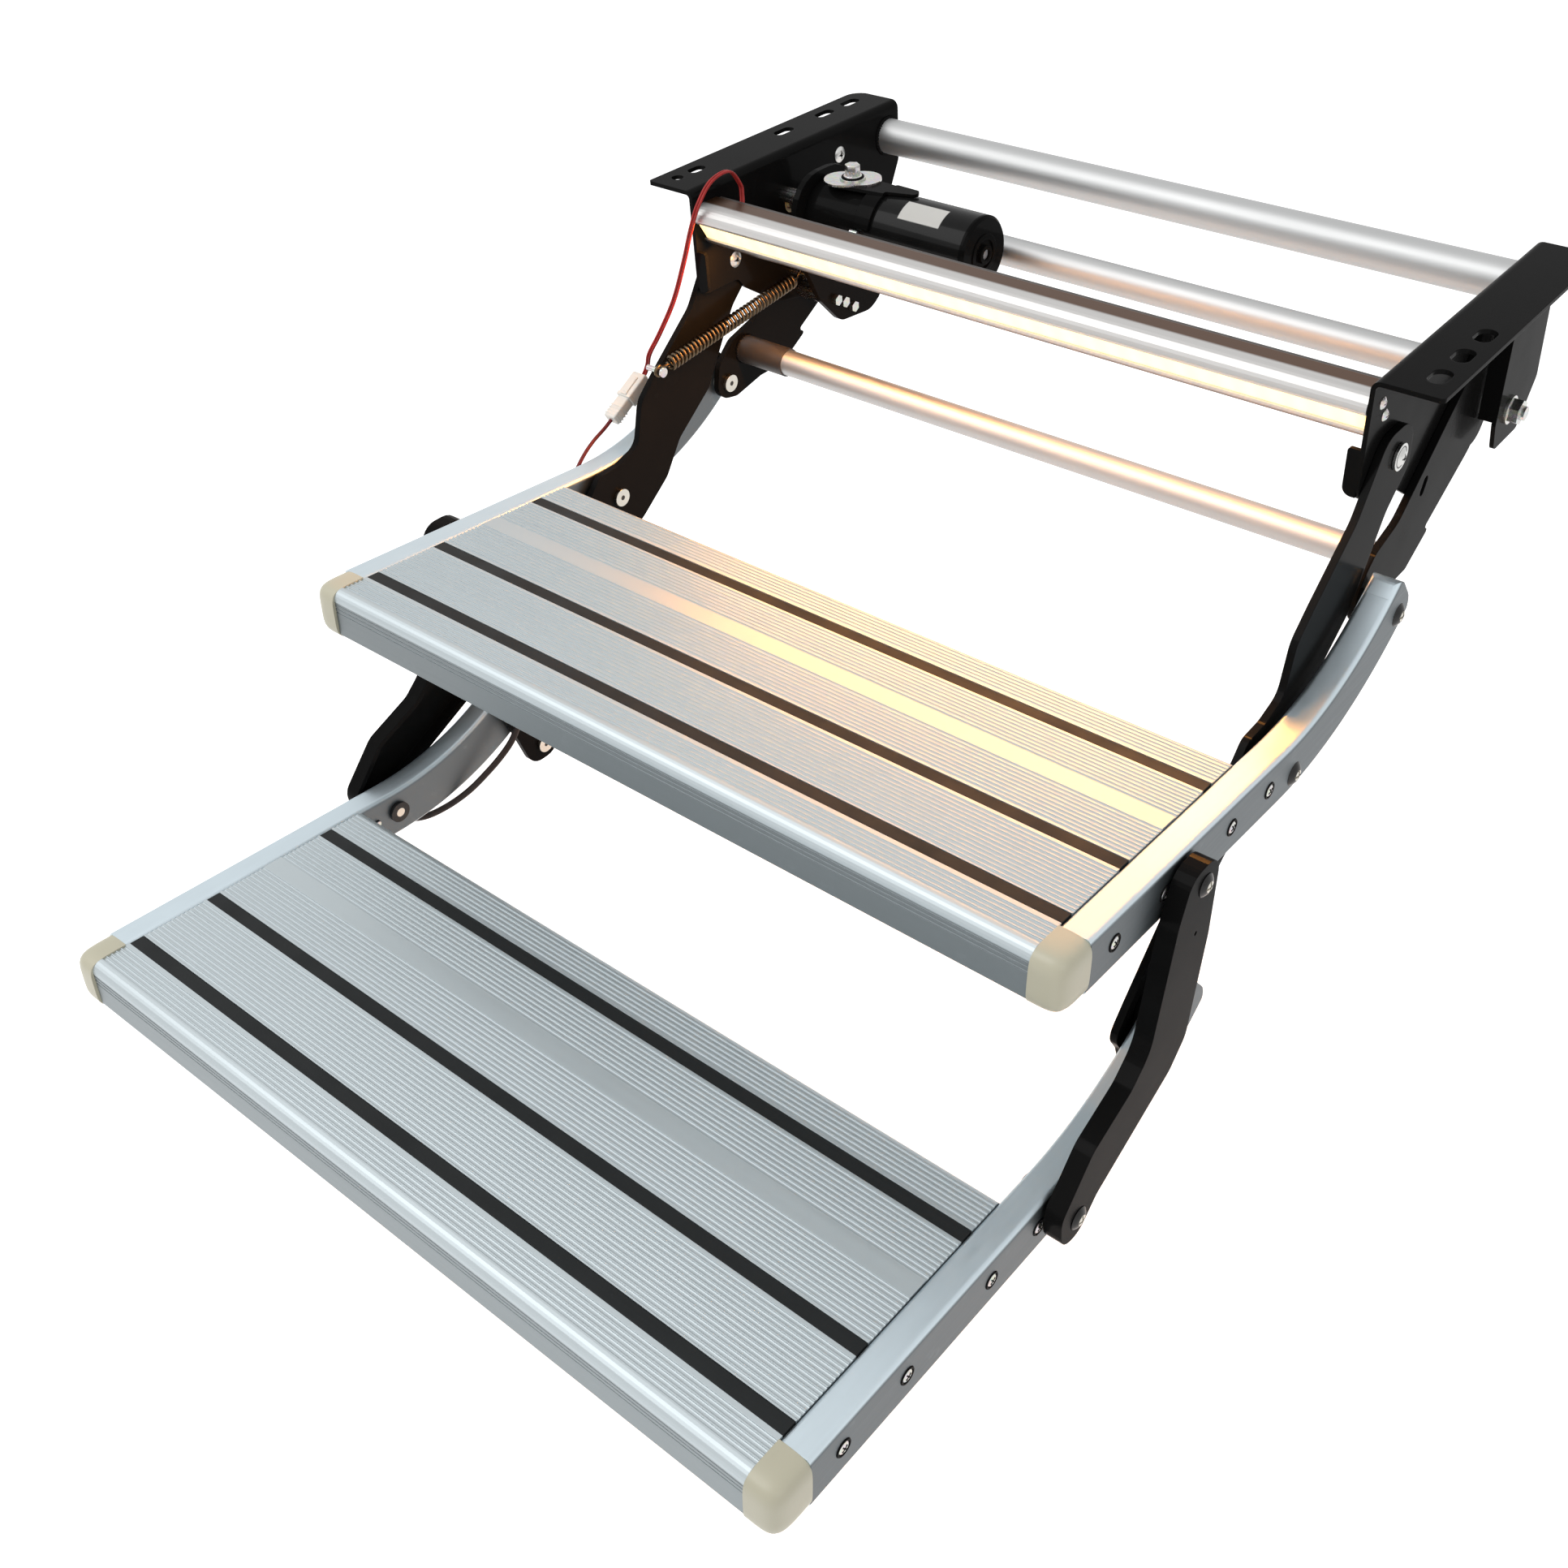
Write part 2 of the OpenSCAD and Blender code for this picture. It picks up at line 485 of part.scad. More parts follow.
module left_front_arm() color("#171718") left() difference() {
    union() {
        front_arm();
        bar(arm_out, crank_x - 0.4, arm_pin_at, 4);
    }
    bar(arm_in - 1, arm_out + 1, hook_at, peg_r);
}
module right_front_arm() color("#171718") front_arm();
module rear_arm() difference() {
    plate(arm_in, arm_t) outline(rear_arm_outline);
    bar(arm_in - 1, arm_out + 1, rear_pivot, pin_r + 1 + pin_gap);
    bar(arm_in - 1, arm_out + 1, rear_foot, pin_r + gap);
}
module left_rear_arm() color("#171718") left() rear_arm();
module right_rear_arm() color("#171718") difference() {
    rear_arm();
    plate(arm_in - 1, arm_t + 2) translate(rear_foot + [72, 52]) rotate(65)
        outline([[-7, -3.5, 3.4], [7, -3.5, 3.4], [7, 3.5, 3.4], [-7, 3.5, 3.4]]);
}
module torsion_tube() color("#b9bdc0") tube_x(-arm_in, arm_in, torsion_at, torsion_r, 2);
module torsion_sleeve() color("#2c2926") left() tube_x(arm_in - 46, arm_in - 1, torsion_at, torsion_r + 1.2, 1.1);

// Tread: open extrusion with ribs, strip grooves, screw ports and a rear leg
strip_at = [7.6, 64.6, 156];
band_at = [104, 117.4];
port_at = [[25, -17.3], [77, -17.3], [152.7, -17.3]];
port_r = 5;
rear_leg = 18;
groove_d = 3;
function in_strip(y) = len([for (s = strip_at) if (abs(y - s) < strip_w / 2 + rib_pitch * 0.7) 1]) > 0;
rib_y = [for (k = [1:floor((tread_d + cap_d - 12) / rib_pitch)]) let (y = 6 - cap_d + rib_pitch * k)
    if (!in_strip(y) && (y < band_at[0] || y > band_at[1])) y];
module groove_floor(y) plate(-rail_in, 2 * rail_in) translate([y - strip_w / 2 - 2, -groove_d - tread_t])
    square([strip_w + 4, tread_t - 0.2]);
module screw_port(p) plate(-rail_in, 2 * rail_in) difference() {
    union() {
        translate(p) circle(r = port_r, $fn = 12);
        translate([p[0] - 1.5, p[1] + port_r - 1]) square([3, 0.7 - p[1] - port_r - groove_d]);
    }
    translate(p) circle(r = 2.2, $fn = 12);
}
module tread_section() {
    difference() {
        union() {
            difference() {
                outline([[-cap_d, 0, 7], [tread_d, 0, 8], [tread_d, -rear_leg, 2], [-cap_d, -rear_leg, 0]]);
                outline([[tread_t - cap_d, -tread_t - rib_h, 4], [tread_d - tread_t, -tread_t - rib_h, 5],
                    [tread_d - tread_t, -rear_leg - 1, 0], [tread_t - cap_d, -rear_leg - 1, 0]]);
            }
            outline([[-cap_d, -12, 0], [tread_t - cap_d, -12, 0], [tread_t - cap_d, -nose_h + tread_t, 1],
                [4 - cap_d + 6, -nose_h + tread_t, 1], [4 - cap_d + 6, -nose_h, 1], [-cap_d, -nose_h, 2]]);
        }
        for (s = strip_at) translate([s - strip_w / 2, -groove_d]) square([strip_w, groove_d + 1]);
        for (y = rib_y) translate([y - rib_pitch / 2, -rib_h])
            polygon([[0.5, 1], [0.5, 0.2], [1.2, 0], [rib_pitch - 1.2, 0], [rib_pitch - 0.5, 0.2], [rib_pitch - 0.5, 1]]);
        for (k = [0:2]) translate([-cap_d - 1, -9.5 - 3 * k]) square([1.5, 1.2]);
    }
}
module tread() {
    plate(-rail_in, 2 * rail_in) tread_section();
    for (y = strip_at) groove_floor(y);
    for (p = port_at) screw_port(p);
}
module strips() plate(-rail_in + 0.2, 2 * rail_in - 0.4) for (s = strip_at) outline([
    [s - strip_w / 2, -groove_d, 0], [s + strip_w / 2, -groove_d, 0],
    [s + strip_w / 2, -0.3, 0.8], [s - strip_w / 2, -0.3, 0.8]]);

// Rail: box extrusion, straight and then bent up, with a closed round end
edge_r = 3.5;
rail_wall = 2.5;
end_len = 8;
rail_mid = -rail_h / 2;
module rail_section(d) outline([for (s = [[-1, -1], [1, -1], [1, 1], [-1, 1]])
    [s[0] * (rail_h / 2 - d), s[1] * (rail_t / 2 - d), edge_r - d]]);
module rail_run(d, past) {
    translate([rail_in + rail_t / 2, bend_r, rail_mid]) rotate([90, 90, 0])
        linear_extrude(bend_r + past) rail_section(d);
    translate([rail_in + rail_t / 2, bend_r, rail_mid + bend_r]) rotate([0, 90, 0])
        rotate_extrude(angle = bend_angle, $fn = 180) translate([bend_r, 0]) rail_section(d);
}
// A length of section past the bend, from y0 to y1 along the rail
module rail_end(d, y0, y1) translate([rail_in + rail_t / 2, bend_r * (1 + sin(bend_angle)),
    rail_mid + bend_r * (1 - cos(bend_angle))]) rotate([bend_angle, 0, 0]) translate([0, y1, 0])
    rotate([90, 90, 0]) linear_extrude(y1 - y0) rail_section(d);
// Cuts the end of the rail to its two corner radii
module rail_end_cut() translate([rail_in - 1, bend_r * (1 + sin(bend_angle)),
    rail_mid + bend_r * (1 - cos(bend_angle))]) rotate([bend_angle, 0, 0]) rotate([90, 0, 90])
    linear_extrude(rail_t + 2) difference() {
        translate([end_len - 17, -rail_h / 2 - 1]) square([18, rail_h + 2]);
        outline([[end_len - 40, -rail_h / 2 - 2, 0], [end_len - 40, rail_h / 2 + 2, 0],
            [end_len - 16, rail_h / 2 + 2, 0], [end_len - 16, rail_h / 2, 0], [end_len, rail_h / 2, 6],
            [end_len, -rail_h / 2, 15], [end_len - 16, -rail_h / 2, 0], [end_len - 16, -rail_h / 2 - 2, 0]]);
    }
rail_screw_at = concat(port_at, [[198.8, -17.3]]);
module rail(holes) difference() {
    union() {
        difference() {
            rail_run(0, 0);
            rail_run(rail_wall, 1);
        }
        rail_end(0, 0, end_len);
        rail_end(1, -2, 3);
    }
    rail_end_cut();
    for (p = holes) bar(rail_in - 1, rail_out + 1, p, pin_r);
    for (p = rail_screw_at) {
        bar(rail_in - 1, rail_out + 1, p, 2.6);
        translate([rail_out - 2.4, p[0], p[1]]) rotate([0, 90, 0]) cylinder(r1 = 2.6, r2 = 5.2, h = 2.5);
    }
}
// Cream cap on the front end of a rail, with a spigot in the rail
module end_cap() {
    intersection() {
        translate([0, 0, -rail_h - 1]) linear_extrude(rail_h + 2)
            outline([[rail_in, 0, 0], [rail_out, 0, 0], [rail_out, -cap_d - 1, 15], [rail_in, -cap_d - 1, 0]]);
        plate(rail_in, rail_t) outline([[0, 0.3, 0], [0, -rail_h - 0.3, 0],
            [-cap_d - 1, -rail_h - 0.3, 13], [-cap_d - 1, 0.3, 8]]);
        translate([0, 1, 0]) rotate([90, 0, 0]) linear_extrude(cap_d + 4) outline([[rail_in, 0.3, 0],
            [rail_out, 0.3, 5], [rail_out, -rail_h - 0.3, 5], [rail_in, -rail_h - 0.3, 0]]);
    }
    translate([rail_in + rail_wall + gap, -1, rail_wall + gap - rail_h])
        cube([rail_t - 2 * (rail_wall + gap), 9, rail_h - 2 * (rail_wall + gap)]);
}
module rail_screws() {
    for (p = rail_screw_at) {
        bar(p[0] < tread_d ? rail_in - 14 : rail_in - 2, rail_out - 2.4, p, 2.1);
        translate([rail_out - 2.4, p[0], p[1]]) rotate([0, 90, 0]) difference() {
            cylinder(r1 = 2.3, r2 = 5, h = 2.4);
            for (a = [45, 135]) rotate(a) translate([-2.6, -0.5, 1.4]) cube([5.2, 1, 2]);
        }
    }
}
// Pin through a rail: black crowned head outside, flat inside end
module step_pin(p, x0) {
    bar(x0, rail_out + 0.2, p, pin_r - pin_gap);
    dome_head(rail_out, p, pin_head_r, 3.6);
}
module inner_head(p, r) bar(arm_in - 3, arm_in - 0.3, p, r);
module link_pin(p, x0) {
    bar(x0, link_out + 0.6, p, pin_r - pin_gap);
    bar(rail_out, link_in - 0.3, p, pin_head_r + 2);
    dome_head(link_out + 0.3, p, pin_head_r - 0.5, 3);
}

module upper_tread() color("#cdd0d2") step_at(upper_origin) tread();
module upper_strips() color("#1e2324") step_at(upper_origin) strips();
module upper_left_rail() color("#a9b1b8") step_at(upper_origin) left() rail(upper_holes);
module upper_right_rail() color("#a9b1b8") step_at(upper_origin) rail(upper_holes);
module upper_end_caps() color("#d8d3b8") step_at(upper_origin) both() end_cap();
module upper_screws() color("#c8cacc") step_at(upper_origin) both() rail_screws();
upper_holes = [arm_pivot_at, rear_pivot_at, link_pivot_at];
lower_holes = [foot_pivot_at];
module upper_pivot_pins() color("#222224") step_at(upper_origin) both() {
    for (p = [arm_pivot_at, rear_pivot_at]) {
        step_pin(p, arm_in - 2);
        inner_head(p, pin_r + 2);
    }
    link_pin(link_pivot_at, rail_in + 0.5);
}
module pivot_spacers() color("#e6e2d4") step_at(upper_origin) both()
    for (p = [arm_pivot_at, rear_pivot_at]) tube_x(arm_out + 0.3, rail_in, p, 9, 9 - pin_r);

module lower_tread() color("#cdd0d2") step_at(lower_origin) tread();
module lower_strips() color("#1e2324") step_at(lower_origin) strips();
module lower_left_rail() color("#a9b1b8") step_at(lower_origin) left() rail(lower_holes);
module lower_right_rail() color("#a9b1b8") step_at(lower_origin) rail(lower_holes);
module lower_end_caps() color("#d8d3b8") step_at(lower_origin) both() end_cap();
module lower_screws() color("#c8cacc") step_at(lower_origin) both() rail_screws();
// Lug plates that carry the front arms' feet below the ends of the lower rails
hinge_at = turned(hinge_foot - lower_origin, tread_pitch);
lug_t = rail_in - arm_out - gap;
module lower_hinge_lugs() color("#171718") step_at(lower_origin) both() difference() {
    plate(rail_in - lug_t, lug_t) outline([at(hinge_at, [-12, -12], 11.5), at(hinge_at, [12, -12], 11.5),
        at(hinge_at, [14, 48], 10), at(hinge_at, [2, 76], 8), at(hinge_at, [-22, 64], 8), at(hinge_at, [-24, 42], 10)]);
    bar(rail_in - lug_t - 1, rail_in + 1, hinge_at, pin_r);
    for (d = [[-8, 52], [2, 62]]) bar(rail_in - lug_t - 1, rail_in + 1, hinge_at + d, 2.8);
}
module lower_pivot_pins() color("#222224") step_at(lower_origin) both() {
    bar(arm_in - 2, rail_in - 0.2, hinge_at, pin_r - pin_gap);
    inner_head(hinge_at, pin_r + 2);
    link_pin(foot_pivot_at, rail_in - 1);
    bar(rail_in - 3, rail_in, foot_pivot_at, pin_head_r);
    for (d = [[-8, 52], [2, 62]]) bar(rail_in - lug_t, rail_in, hinge_at + d, 2.75);
}

// Outer links: channels, open toward the rails
link_outline = [at(link_top, [-16, 15], 14), at(link_top, [15, 15], 14), at(link_top, [11, -45], 60),
    at(link_top, [-3, -118], 16), at(link_top, [-19, -134], 16), at(link_foot, [19, 1], 20),
    at(link_foot, [2, -15], 14), at(link_foot, [-17, -12], 14), at(link_foot, [-18, 14], 14),
    at(link_foot, [12, 45], 20), at(link_foot, [50, 60], 20), at(link_top, [-46, -94], 30),
    at(link_top, [-27, -12], 40)];
link_core = [at(link_top, [-13, 12], 11), at(link_top, [12, 12], 11), at(link_top, [8, -45], 57),
    at(link_top, [-6, -116], 13), at(link_top, [-21, -130.5], 13), at(link_foot, [20, 4.5], 17),
    at(link_foot, [2, -12], 11), at(link_foot, [-14, -9], 11), at(link_foot, [-15, 12], 11),
    at(link_foot, [14, 42], 17), at(link_foot, [52, 57], 17), at(link_top, [-43, -94], 27),
    at(link_top, [-24, -12], 37)];
module outer_link() difference() {
    plate(link_in, link_out - link_in) outline(link_outline);
    plate(link_in - 1, link_out - link_in - 2) outline(link_core);
    bar(link_in - 1, link_out + 1, link_top, pin_r + pin_gap);
    bar(link_in - 1, link_out + 1, link_foot, pin_r + gap);
    bar(link_in - 1, link_out + 1, link_top + [-6, -32], 1.5);
}
module left_link() color("#141415") left() outer_link();
module right_link() color("#141415") outer_link();

// Leads: routes through hand chosen points, smoothed between them
supply_route = [[-252, 31.3, -19], [-253, 36, -17.5], [-256, 40, -11], [-258, 40.7, -3.7], [-261, 33, 7.5],
    [-264, 16.5, 4.5], [-261, -2, -6.5], [-267, -6.5, -26], [-276, -8, -52], [-287, -12.1, -84],
    [-296, -21.8, -109.5], [-302, -29.9, -125.7], [-306.4, -29.3, -136.5], [-308.8, -30.9, -143.6],
    [-309.2, -34.2, -146.6]];
rail_route = [[-308, -72.2, -167.4], [-308, -80.4, -171.5], [-307, -94, -176], [-305, -107, -181.5],
    [-304, -118, -190], [-303, -126, -198], [-301.7, -129, -203]];
cable_route = [[-268.6, -212, -296], [-267.2, -219, -306], [-266, -236, -331], [-266, -244.6, -341.4],
    [-266, -254.2, -352.1], [-267, -267.6, -360.9], [-269, -282, -368.4], [-272, -294.4, -375],
    [-277, -305, -381], [-283, -315, -386], [-288, -326, -388], [-291, -335.6, -385.6], [-292, -339.4, -381.1]];
function spline(p, k) = [for (i = [0:len(p) - 2]) for (j = [0:k - 1]) let (t = j / k,
    a = p[max(i - 1, 0)], b = p[i], c = p[i + 1], d = p[min(i + 2, len(p) - 1)])
    0.5 * (2 * b + (c - a) * t + (2 * a - 5 * b + 4 * c - d) * t * t + (3 * b - a - 3 * c + d) * t * t * t)];
function route(p, k) = concat(spline(p, k), [p[len(p) - 1]]);
module lead(p, k, r) {
    path = route(p, k);
    sweep(path, [for (q = path) [1, 0.3, 0]], r, 8);
}
module supply_lead() color("#a8383a") for (s = [0, 1]) lead([for (q = supply_route) q + s * [2.4, 0, 0]], 2, 1);
module lead_connector() color("#e6e4da") translate([-308, -53.3, -157.1]) rotate([28.6, 0, 0]) difference() {
    union() {
        translate([-7, -1, -6]) cube([14, 24, 12]);
        translate([-6, -23, -5]) cube([12, 24, 10]);
    }
    translate([0, -20.8, 0]) rotate([90, 0, 0]) cylinder(r = 1.8, h = 4);
    translate([-3, 21.4, -1.6]) cube([6, 4, 3.2]);
}
module rail_lead() color("#6e2325") lead(rail_route, 2, 1.5);
module step_cable() color("#191314") lead(cable_route, 3, 2.5);

left_bracket();
right_bracket();
back_tube();
middle_tube();
light_bar();
light_strip();
light_bar_cover();
light_bar_screws();
gearbox_plate();
standoffs();
standoff_screws();
plate_bolts();
gearbox_housing();
motor_can();
motor_end_cap();
field_magnets();
motor_strap();
strap_washer();
strap_bolt();
motor_screws();
output_bush();
output_crank();
drive_link();
drive_pins();
armature();
spring_peg();
spring_hook_pin();
balance_spring();
stop_bracket();
stop_bolt();
front_pivot_bolts();
rear_pivot_bolts();
left_front_arm();
right_front_arm();
left_rear_arm();
right_rear_arm();
torsion_tube();
torsion_sleeve();
upper_tread();
upper_strips();
upper_left_rail();
upper_right_rail();
upper_end_caps();
upper_screws();
upper_pivot_pins();
pivot_spacers();
lower_tread();
lower_strips();
lower_left_rail();
lower_right_rail();
lower_end_caps();
lower_screws();
lower_hinge_lugs();
lower_pivot_pins();
left_link();
right_link();
supply_lead();
lead_connector();
rail_lead();
step_cable();
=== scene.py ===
# Looks of the pull out double step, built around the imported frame.
import bpy, math
from mathutils import Vector, Matrix


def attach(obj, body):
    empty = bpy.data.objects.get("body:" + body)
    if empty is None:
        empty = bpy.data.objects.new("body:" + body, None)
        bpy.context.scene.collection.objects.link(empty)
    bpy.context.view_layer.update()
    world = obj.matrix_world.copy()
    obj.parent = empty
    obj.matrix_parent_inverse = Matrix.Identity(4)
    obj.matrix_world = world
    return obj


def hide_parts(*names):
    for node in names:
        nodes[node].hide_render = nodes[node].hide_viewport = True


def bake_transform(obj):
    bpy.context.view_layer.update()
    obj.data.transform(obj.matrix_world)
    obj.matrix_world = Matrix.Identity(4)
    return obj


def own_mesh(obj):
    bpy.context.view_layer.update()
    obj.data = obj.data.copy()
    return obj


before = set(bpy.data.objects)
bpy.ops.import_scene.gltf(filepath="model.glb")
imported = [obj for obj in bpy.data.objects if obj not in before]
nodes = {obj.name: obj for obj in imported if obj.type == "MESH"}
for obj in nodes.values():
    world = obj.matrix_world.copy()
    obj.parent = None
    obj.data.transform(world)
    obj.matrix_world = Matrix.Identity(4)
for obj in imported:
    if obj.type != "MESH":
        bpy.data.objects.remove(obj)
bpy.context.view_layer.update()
scene = bpy.context.scene
print("frame loaded:", len(nodes), "nodes")

# camera and light
view = {"place": (0.60322, -0.87203, 0.45141), "turn": (52.5633, 1.7963, 38.2377), "lens": 38.9348,
        "shift": (-0.05373, -0.04622)}
light = {"key": 30, "keyPlace": (-0.9, -1.3, 1.9), "keySize": 2.2,
         "fill": 6, "fillPlace": (2.2, -0.9, 0.9), "fillSize": 1.8, "aim": (0, -0.1, -0.2),
         "sky": 0.62, "floorLevel": -0.64, "floorSize": 14, "floorLift": 0.55,
         "stripGlow": 1.6, "warm": (1.0, 0.39, 0.08), "stripSize": (0.52, 0.012),
         "stripPower": 1.4, "stripPlace": (0, 0.0035, -0.0335), "stripAim": (0, -0.863, -0.507),
         "downPower": 1.05, "downPlace": (0, 0.012, -0.046), "downAim": (0, 0.12, -1)}


def mm(*v):
    return Vector([n * 0.001 for n in v])


def clearSelection():
    if bpy.context.object and bpy.context.object.mode != "OBJECT":
        bpy.ops.object.mode_set(mode="OBJECT")
    bpy.ops.object.select_all(action="DESELECT")


def placeCamera():
    cam = bpy.data.cameras.new("camera")
    cam.lens, cam.sensor_width = view["lens"], 36
    cam.shift_x, cam.shift_y = view["shift"]
    cam.clip_start, cam.clip_end = 0.05, 50
    o = bpy.data.objects.new("camera", cam)
    scene.collection.objects.link(o)
    o.location = view["place"]
    o.rotation_euler = [math.radians(a) for a in view["turn"]]
    scene.camera = o


placeCamera()
print("camera placed")


# shader maths: one output socket that takes part in plain arithmetic
class Wire:
    def __init__(self, finish, socket):
        self.finish, self.socket = finish, socket

    def work(self, kind, other, flipped=False):
        a, b = (other, self) if flipped else (self, other)
        return self.finish.add("ShaderNodeMath", {"operation": kind}, {0: a, 1: b})

    def __add__(self, o): return self.work("ADD", o)
    def __radd__(self, o): return self.work("ADD", o)
    def __sub__(self, o): return self.work("SUBTRACT", o)
    def __rsub__(self, o): return self.work("SUBTRACT", o, True)
    def __mul__(self, o): return self.work("MULTIPLY", o)
    def __rmul__(self, o): return self.work("MULTIPLY", o)
    def __pow__(self, o): return self.work("POWER", o)


class Finish:
    def __init__(self, name, **fixed):
        self.material = bpy.data.materials.new(name)
        self.material.use_nodes = True
        self.tree = self.material.node_tree
        self.shader = self.tree.nodes["Principled BSDF"]
        for key, value in fixed.items():
            self.shader.inputs[key.replace("_", " ")].default_value = value
        self.coords = None

    def add(self, kind, settings=None, sockets=None, out=0):
        node = self.tree.nodes.new(kind)
        for key, value in (settings or {}).items():
            setattr(node, key, value)
        for key, value in (sockets or {}).items():
            if isinstance(value, Wire):
                self.tree.links.new(value.socket, node.inputs[key])
            else:
                node.inputs[key].default_value = value
        return Wire(self, node.outputs[out])

    def place(self, scale=(1, 1, 1), turn=(0, 0, 0)):
        if self.coords is None:
            self.coords = self.add("ShaderNodeTexCoord", out="Object")
        return self.add("ShaderNodeMapping", {}, {"Vector": self.coords, "Scale": scale,
                                                  "Rotation": [math.radians(a) for a in turn]})

    def noise(self, scale, detail=3.0, rough=0.55, stretch=(1, 1, 1)):
        return self.add("ShaderNodeTexNoise", {}, {"Vector": self.place(stretch), "Scale": scale,
                                                   "Detail": detail, "Roughness": rough}, "Fac")

    def largest(self, a, b):
        return self.add("ShaderNodeMath", {"operation": "MAXIMUM"}, {0: a, 1: b})

    def sizeOf(self, a):
        return self.add("ShaderNodeMath", {"operation": "ABSOLUTE"}, {0: a})

    def limit(self, value, low, high, newLow=0.0, newHigh=1.0):
        return self.add("ShaderNodeMapRange", {}, {"Value": value, "From Min": low, "From Max": high,
                                                   "To Min": newLow, "To Max": newHigh})

    def mix(self, amount, a, b):
        a, b = [v if isinstance(v, Wire) else (*v, 1) for v in (a, b)]
        return self.add("ShaderNodeMix", {"data_type": "RGBA"}, {0: amount, 6: a, 7: b}, 2)

    def feed(self, **links):
        for key, wire in links.items():
            self.tree.links.new(wire.socket, self.shader.inputs[key.replace("_", " ")])

    def relief(self, height, strength, distance, rounding=0.0):
        sockets = {"Height": height, "Strength": strength, "Distance": distance}
        if rounding:
            sockets["Normal"] = self.add("ShaderNodeBevel", {"samples": 4}, {"Radius": rounding})
        self.feed(Normal=self.add("ShaderNodeBump", {}, sockets))


# powder coated black steel: fine orange peel, faint handling haze
def blackCoat(name, tone, rough, peel, haze):
    f = Finish(name, Metallic=0.0, IOR=1.45, Specular_IOR_Level=0.01, Coat_Weight=0.04, Coat_Roughness=0.08)
    cloudy = f.noise(9, 4)
    fine = f.noise(900, 2, 0.4)
    dust = f.limit(f.noise(38, 5, 0.7), 0.5, 0.85) * haze
    tint = f.mix(cloudy, [tone * 0.8] * 3, [tone * 1.25, tone * 1.22, tone * 1.2])
    f.feed(Base_Color=f.mix(dust * 0.05, tint, (0.09, 0.085, 0.08)),
           Roughness=f.limit(f.noise(26, 3), 0.3, 0.7, rough - 0.04, rough + 0.06) + dust * 0.05)
    f.relief(fine, peel, 0.00012, 0.0009)
    return f.material


# drawn metal: grain along one axis, cool or warm tone, faint spots; an optional mask darkens some faces with
# painted shade
def drawnAluminium(name, tone, rough, grain, bump=0.12, paintedShade=None):
    f = Finish(name, Metallic=1.0)
    lines = f.noise(1, 3, 0.6, grain)
    cloudy = f.noise(7, 3)
    spots = f.limit(f.noise(60, 4, 0.7), 0.6, 0.75)
    dark = [c * 0.92 for c in tone]
    bright = [min(1, c * 1.05) for c in tone]
    shade = f.mix(lines * 0.55 + cloudy * 0.45, dark, bright)
    # painted shade: the masked faces are mixed towards black in the base colour
    if paintedShade:
        shade = f.mix(paintedShade(f), shade, (0, 0, 0))
    f.feed(Base_Color=f.mix(spots * 0.08, shade, [c * 0.8 for c in tone]),
           Roughness=f.limit(lines, 0.25, 0.75, rough - 0.03, rough + 0.05))
    f.relief(lines, bump, 0.00005, 0.0004)
    return f.material


# coordinates in mm, the distance from an axis along X, and a band of one coordinate
def axes(f):
    sep = f.add("ShaderNodeSeparateXYZ", {}, {0: f.place((1000, 1000, 1000))})
    return [Wire(f, sep.socket.node.outputs[k]) for k in range(3)]


def fromAxis(y, z, at):
    dy, dz = y - at[0], z - at[1]
    return (dy * dy + dz * dz) ** 0.5


def between(f, value, low, high, soft=0.6):
    return f.limit(value, low, low + soft) * f.limit(value, high, high - soft)


# the frame of each step: y along the tread and z up from its top
steps = {"pitch": 4.8, "upper": (-335.783, -164.657), "lower": (-570.714, -324.070), "railIn": 280, "railOut": 300,
         "screws": [(25, -17.3), (77, -17.3), (152.7, -17.3), (198.8, -17.3)]}

# painted shade on upright faces: the sides of the rails and the fronts of the tread noses are darkened in the base
# colour
paintedFaceShade = {"rail": 0.78, "inner": 280.2, "outer": 299.8, "upper": 0.55, "lower": 0.42, "front": -24.2,
           "above": -5, "below": -60}


# painted shade on the inner and outer sides of the rails, outside the band of the rail tops
def railSideShade(f):
    x = axes(f)[0]
    across = f.sizeOf(x)
    return (1 - between(f, across, paintedFaceShade["inner"], paintedFaceShade["outer"])) * paintedFaceShade["rail"]


# painted shade on the front faces of the upper and lower tread noses
def noseFrontShade(f):
    x, y, z = axes(f)
    pitch, total = math.radians(steps["pitch"]), 0
    for which in ("upper", "lower"):
        startY, topZ = steps[which]
        along = (y - startY) * math.cos(pitch) - (z - topZ) * math.sin(pitch)
        low, high = topZ + paintedFaceShade["below"], topZ + paintedFaceShade["above"]
        level = f.limit(z, high, high - 1) * f.limit(z, low, low + 1)
        total = f.limit(along, paintedFaceShade["front"], paintedFaceShade["front"] - 0.6) * level * paintedFaceShade[which] + total
    return total


# step pins: black domes with a bright socket, bright heads where they come through the arms, and a black centre on
# those heads that is painted shade in their socket
pinAxes = {"upper": [(-105.608, -208.070), (25.465, -164.886), (-240.546, -189.715)],
           "lower": [(-354.901, -359.252), (-219.963, -377.608)], "innerEnd": 275.5, "socket": 3.7, "hollow": 2.1}


